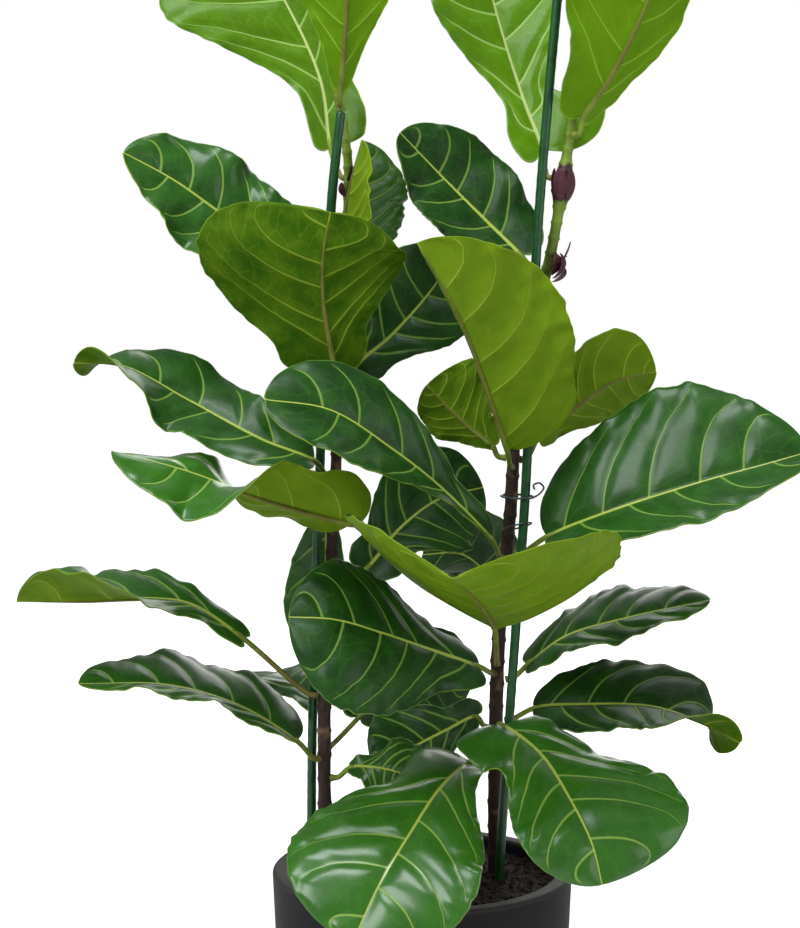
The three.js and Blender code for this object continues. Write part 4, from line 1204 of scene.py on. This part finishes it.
class FIG_OT_clip(bpy.types.Operator):
    """Builds the wire clip round the right stem and its stake"""

    bl_idname = "fig.clip"
    bl_label = "Clip"

    def execute(self, context):
        loop, hook, ring = clip_courses()
        piece = join(tube("clip_wire", loop, WIRE_RADIUS, sides=10, closed=True),
                     tube("clip_hook", hook, 0.9 * WIRE_RADIUS, sides=10),
                     tube("clip_tie", ring, 0.8 * WIRE_RADIUS, sides=10, closed=True))
        finish(piece, wire_material(context.scene.fig_pot), "wire", "stem_clip")
        return {"FINISHED"}


# ---------------------------------------------------------------- pot and soil


def rounded(corners, steps=6):
    """A profile with its corners rounded: each corner is a radius, a height and a rounding."""
    line = []
    for i, (r, z, rounding) in enumerate(corners):
        here = np.array([r, z], float)
        if rounding == 0:
            line.append(here)
            continue
        before, after = (np.array(corners[k][:2], float) - here for k in (i - 1, i + 1))
        start = here + unit(before) * rounding
        end = here + unit(after) * rounding
        for t in np.linspace(0, 1, steps):
            line.append((1 - t) ** 2 * start + 2 * t * (1 - t) * here + t ** 2 * end)
    return line


def spun(name, profile, steps):
    """A solid of revolution about the upright axis, from a profile that starts and ends on it."""
    mesh = bpy.data.meshes.new(name)
    edges = [(i, i + 1) for i in range(len(profile) - 1)]
    mesh.from_pydata([(r * MM, 0.0, z * MM) for r, z in profile], edges, [])
    piece = new_object(name, mesh)
    apply_modifier(piece, "SCREW", steps=steps, render_steps=steps, use_merge_vertices=True,
                   merge_threshold=1e-6, use_normal_calculate=True)
    close_up(piece, caps=False)
    return piece


def pot_material(settings):
    """Matt charcoal, finely grained, with a lighter band along the top of the rim painted as a
    highlight.
    """
    matt = Surface("pot_charcoal")
    place = matt.place()
    height = matt.put("SeparateXYZ", {"Vector": place}).outputs["Z"]
    fine = matt.grain(place, 1400.0, 0.5, 0.8, detail=4.0, roughness=0.7)
    broad = matt.grain(place, 22.0, 0.3, 0.7)["Patches"]
    paint = matt.layered(
        matt.mix(broad, settings.charcoal, shade(settings.charcoal, 1.18)),
        (matt.times(fine["Patches"], 0.5), shade(settings.charcoal, 1.7)),
        # Painted highlight: the top of the rim made lighter, where it faces the light from above.
        (matt.ramp(height, 0.2445, 0.2495, 0.0, 0.35), (0.085, 0.078, 0.074)))
    return matt.dress({
        "Base Color": paint, "Roughness": matt.total(0.5, (fine["Grain"], 0.2)),
        "Specular IOR Level": 0.15, "Normal": matt.raised(fine["Grain"], 0.00025)})


class FIG_OT_pot(bpy.types.Operator):
    """Builds the round pot with its rounded rim"""

    bl_idname = "fig.pot"
    bl_label = "Pot"

    def execute(self, context):
        settings = context.scene.fig_pot
        rim, base = settings.rim_radius / MM, settings.base_radius / MM
        top, wall = settings.height / MM, settings.wall / MM
        piece = spun("pot_body", rounded([
            (0, 0, 0), (base - 14, 0, 0), (base, 0, 3), (rim, top, 3.6),
            (rim - wall, top, LIP_ROUND), (base - wall, POT_FLOOR, 8), (0, POT_FLOOR, 0)]), 160)
        finish(piece, pot_material(settings), "pot", "pot")
        piece.data.set_sharp_from_angle(angle=math.radians(40))
        return {"FINISHED"}


def soil_material(settings):
    """Dark, damp, crumbly soil."""
    damp = Surface("soil")
    place = damp.place()
    clods = damp.grain(place, 190.0, 0.32, 0.7, detail=5.0, roughness=0.7)
    bits = damp.grain(place, 900.0, 0.62, 0.72, roughness=0.7)
    paint = damp.layered(
        damp.mix(clods["Patches"], shade(settings.soil, 0.4), shade(settings.soil, 1.9)),
        (damp.times(bits["Patches"], 0.5), (0.12, 0.055, 0.032)))
    height = damp.math("ADD", clods["Grain"], bits["Grain"])
    return damp.dress({"Base Color": paint, "Roughness": 0.93,
                       "Normal": damp.raised(height, 0.0012)})


def soil_heights(x, y):
    """Height of the soil's lumpy surface in millimetres."""
    flat = np.stack([x, y, 0 * x], axis=-1)
    crown = 1.5 * np.clip(1 - np.hypot(x, y) / 105, 0, 1)
    return (SOIL_TOP + crown + 1.6 * lumps(flat, 14, 3) + 1.2 * lumps(flat, 5.5, 4)
            + 0.6 * lumps(flat, 2.4, 6))


def build_soil(settings):
    """The body of soil down to the pot's floor, with a lumpy surface."""
    wall = settings.wall / MM
    rim, base = settings.rim_radius / MM - wall, settings.base_radius / MM - wall
    share = (SOIL_TOP - POT_FLOOR) / (settings.height / MM - LIP_ROUND - POT_FLOOR)
    top_radius = base + (rim - base) * share - 0.5
    rings = 90  # on the surface; the edge, the foot and the middle of the underside follow
    radii = np.concatenate([np.linspace(0.0, top_radius, rings), [top_radius, base - 2 * GAP, 0.0]])
    turn = 2 * np.pi * np.arange(193) / 192
    x, y = radii[:, None] * np.cos(turn), radii[:, None] * np.sin(turn)
    z = np.full_like(x, POT_FLOOR + GAP)
    z[:rings] = soil_heights(x[:rings], y[:rings])
    z[rings] = SOIL_TOP - SOIL_EDGE
    piece = sheet("soil_body", np.stack([x, y, z], axis=-1))
    close_up(piece, caps=False)
    return piece, top_radius


def build_crumbs(count, reach, rng):
    """Loose crumbs of soil: squashed, dented lumps of many sizes, fused into one mesh."""
    bpy.ops.object.select_all(action="DESELECT")
    bpy.ops.mesh.primitive_ico_sphere_add(subdivisions=1, radius=1.0, location=(0, 0, 0))
    crumb = bpy.context.object
    points = np.array([v.co for v in crumb.data.vertices])
    faces = np.array([p.vertices[:] for p in crumb.data.polygons])
    bpy.data.objects.remove(crumb)
    radius = reach * np.sqrt(rng.random(count))
    turn = 2 * np.pi * rng.random(count)
    x, y = radius * np.cos(turn), radius * np.sin(turn)
    size = 0.7 + 2.6 * rng.random(count) ** 3
    middle = np.stack([x, y, soil_heights(x, y) + 0.25 * size], axis=-1)
    shape = rng.uniform(0.6, 1.15, (count, 1, 3)) * rng.uniform(0.8, 1.2, (count, len(points), 1))
    spin = 2 * np.pi * rng.random(count)[:, None]
    own_x, own_y, own_z = np.moveaxis(points[None] * shape * size[:, None, None], -1, 0)
    turned = np.stack([own_x * np.cos(spin) - own_y * np.sin(spin),
                       own_x * np.sin(spin) + own_y * np.cos(spin), own_z * 0.75], axis=-1)
    placed = (turned + middle[:, None]).reshape(-1, 3) * MM
    index = faces[None] + (np.arange(count) * len(points))[:, None, None]
    mesh = bpy.data.meshes.new("soil_crumbs")
    mesh.from_pydata(placed.tolist(), [], index.reshape(-1, 3).tolist())
    return new_object("soil_crumbs", mesh)


class FIG_OT_soil(bpy.types.Operator):
    """Builds the soil and the loose crumbs on it"""

    bl_idname = "fig.soil"
    bl_label = "Soil"

    def execute(self, context):
        settings = context.scene.fig_pot
        material = soil_material(settings)
        body, reach = build_soil(settings)
        crumbs = build_crumbs(settings.crumbs, reach - 4, np.random.default_rng(3))
        finish(body, material, "soil", "soil")
        finish(crumbs, material, "soil", smooth=False)
        return {"FINISHED"}


# ---------------------------------------------------------------- floor, light and camera

CAMERA_PLACE = (-0.020, -2.000, 0.830)
CAMERA_DOWN = 6.1  # degrees
LIGHTS = (  # place, size and tint of each soft light
    ("key", (-1.7, -1.7, 2.3), 1.3, (0.95, 0.98, 1.0)),
    ("top", (-0.3, -0.45, 2.6), 0.9, (0.93, 0.97, 1.0)),
    ("fill", (2.2, -1.4, 1.2), 1.6, (1.0, 1.0, 1.0)),
    ("back", (0.6, 2.2, 1.5), 1.8, (1.0, 1.0, 0.98)),
)
LIT_PLACE = (0, 0, 0.65)


def white_to_camera(nodes, seen, light, strength):
    """Sets a strength to one value where it is looked at, and another where it lights things."""
    looked_at = nodes.put("LightPath").outputs["Is Camera Ray"]
    blend = nodes.put("Mix", {0: looked_at, 2: light, 3: seen}, data_type="FLOAT")
    nodes.feed(strength, blend.outputs[0])


def build_floor(settings):
    """A wide pale floor."""
    bpy.ops.object.select_all(action="DESELECT")
    bpy.ops.mesh.primitive_circle_add(vertices=96, radius=40, fill_type="NGON")
    piece = bpy.context.object
    piece.name = piece.data.name = "floor"
    paper = Surface("floor_paper")
    fine = paper.grain(paper.place(), 60.0)["Grain"]
    away = paper.put("VectorMath", {0: paper.place()}, operation="LENGTH").outputs["Value"]
    glow = paper.times(paper.ramp(away, 0.2, 2.5), settings.glow)
    white_to_camera(paper, glow, 0.0, paper.shader.inputs["Emission Strength"])
    piece.data.materials.append(paper.dress({
        "Base Color": paper.mix(fine, settings.floor, shade(settings.floor, 0.99)),
        "Roughness": 0.9, "Specular IOR Level": 0.1, "Emission Color": (1.0, 1.0, 1.0)}))


def add_light(name, place, size, energy, tint):
    """A square soft light that looks at the plant."""
    lamp = bpy.data.lights.new(name, "AREA")
    lamp.shape = "SQUARE"
    lamp.size = size
    lamp.energy = energy
    lamp.color = tint
    holder = new_object(name, lamp)
    holder.location = place
    holder.rotation_euler = (Vector(LIT_PLACE) - Vector(place)).to_track_quat("-Z", "Y").to_euler()


def add_camera(lens):
    """The camera, at the photograph's viewing angle."""
    camera = bpy.data.cameras.new("camera")
    camera.sensor_fit = "VERTICAL"
    camera.sensor_height = 36.0
    camera.lens = lens
    holder = new_object("camera", camera)
    holder.location = CAMERA_PLACE
    holder.rotation_euler = (math.radians(90 - CAMERA_DOWN), 0, 0)
    return holder


class FIG_OT_stage(bpy.types.Operator):
    """Sets the floor, the soft studio light and the camera"""

    bl_idname = "fig.stage"
    bl_label = "Stage"

    def execute(self, context):
        scene, settings = context.scene, context.scene.fig_stage
        build_floor(settings)
        for name, place, size, tint in LIGHTS:
            add_light("soft_" + name, place, size, getattr(settings, name), tint)
        scene.world = bpy.data.worlds.new("surround")
        scene.world.use_nodes = True
        background = scene.world.node_tree.nodes["Background"].inputs
        background["Color"].default_value = (1.0, 1.0, 1.0, 1.0)
        white_to_camera(Nodes(scene.world.node_tree), 1.0, settings.surround, background["Strength"])
        scene.view_settings.view_transform = "Standard"
        bpy.context.scene.camera = add_camera(settings.lens)
        return {"FINISHED"}


# ---------------------------------------------------------------- sidebar and running

SETTINGS = {"fig_leaf": LeafSettings, "fig_stem": StemSettings, "fig_pot": PotSettings,
            "fig_stage": StageSettings}
OPERATORS = (FIG_OT_stage, FIG_OT_pot, FIG_OT_soil, FIG_OT_stems, FIG_OT_scales, FIG_OT_stakes,
             FIG_OT_clip, FIG_OT_leaves)


class FIG_PT_panel(bpy.types.Panel):
    """Lists the pieces of the plant and their settings"""

    bl_idname = "FIG_PT_panel"
    bl_label = "Fiddle leaf fig"
    bl_space_type = "VIEW_3D"
    bl_region_type = "UI"
    bl_category = "Fig"

    def draw(self, context):
        for operator in OPERATORS:
            self.layout.operator(operator.bl_idname)
        for name, group in SETTINGS.items():
            box = self.layout.box()
            for key in group.__annotations__:
                box.prop(getattr(context.scene, name), key)


def register():
    for shown in (*SETTINGS.values(), *OPERATORS, FIG_PT_panel):
        bpy.utils.register_class(shown)
    for name, group in SETTINGS.items():
        setattr(bpy.types.Scene, name, PointerProperty(type=group))


def unregister():
    for name in SETTINGS:
        delattr(bpy.types.Scene, name)
    for shown in (FIG_PT_panel, *OPERATORS, *SETTINGS.values()):
        bpy.utils.unregister_class(shown)


def main():
    register()
    for operator in OPERATORS:
        family, action = operator.bl_idname.split(".")
        getattr(getattr(bpy.ops, family), action)()


if __name__ == "__main__":
    main()
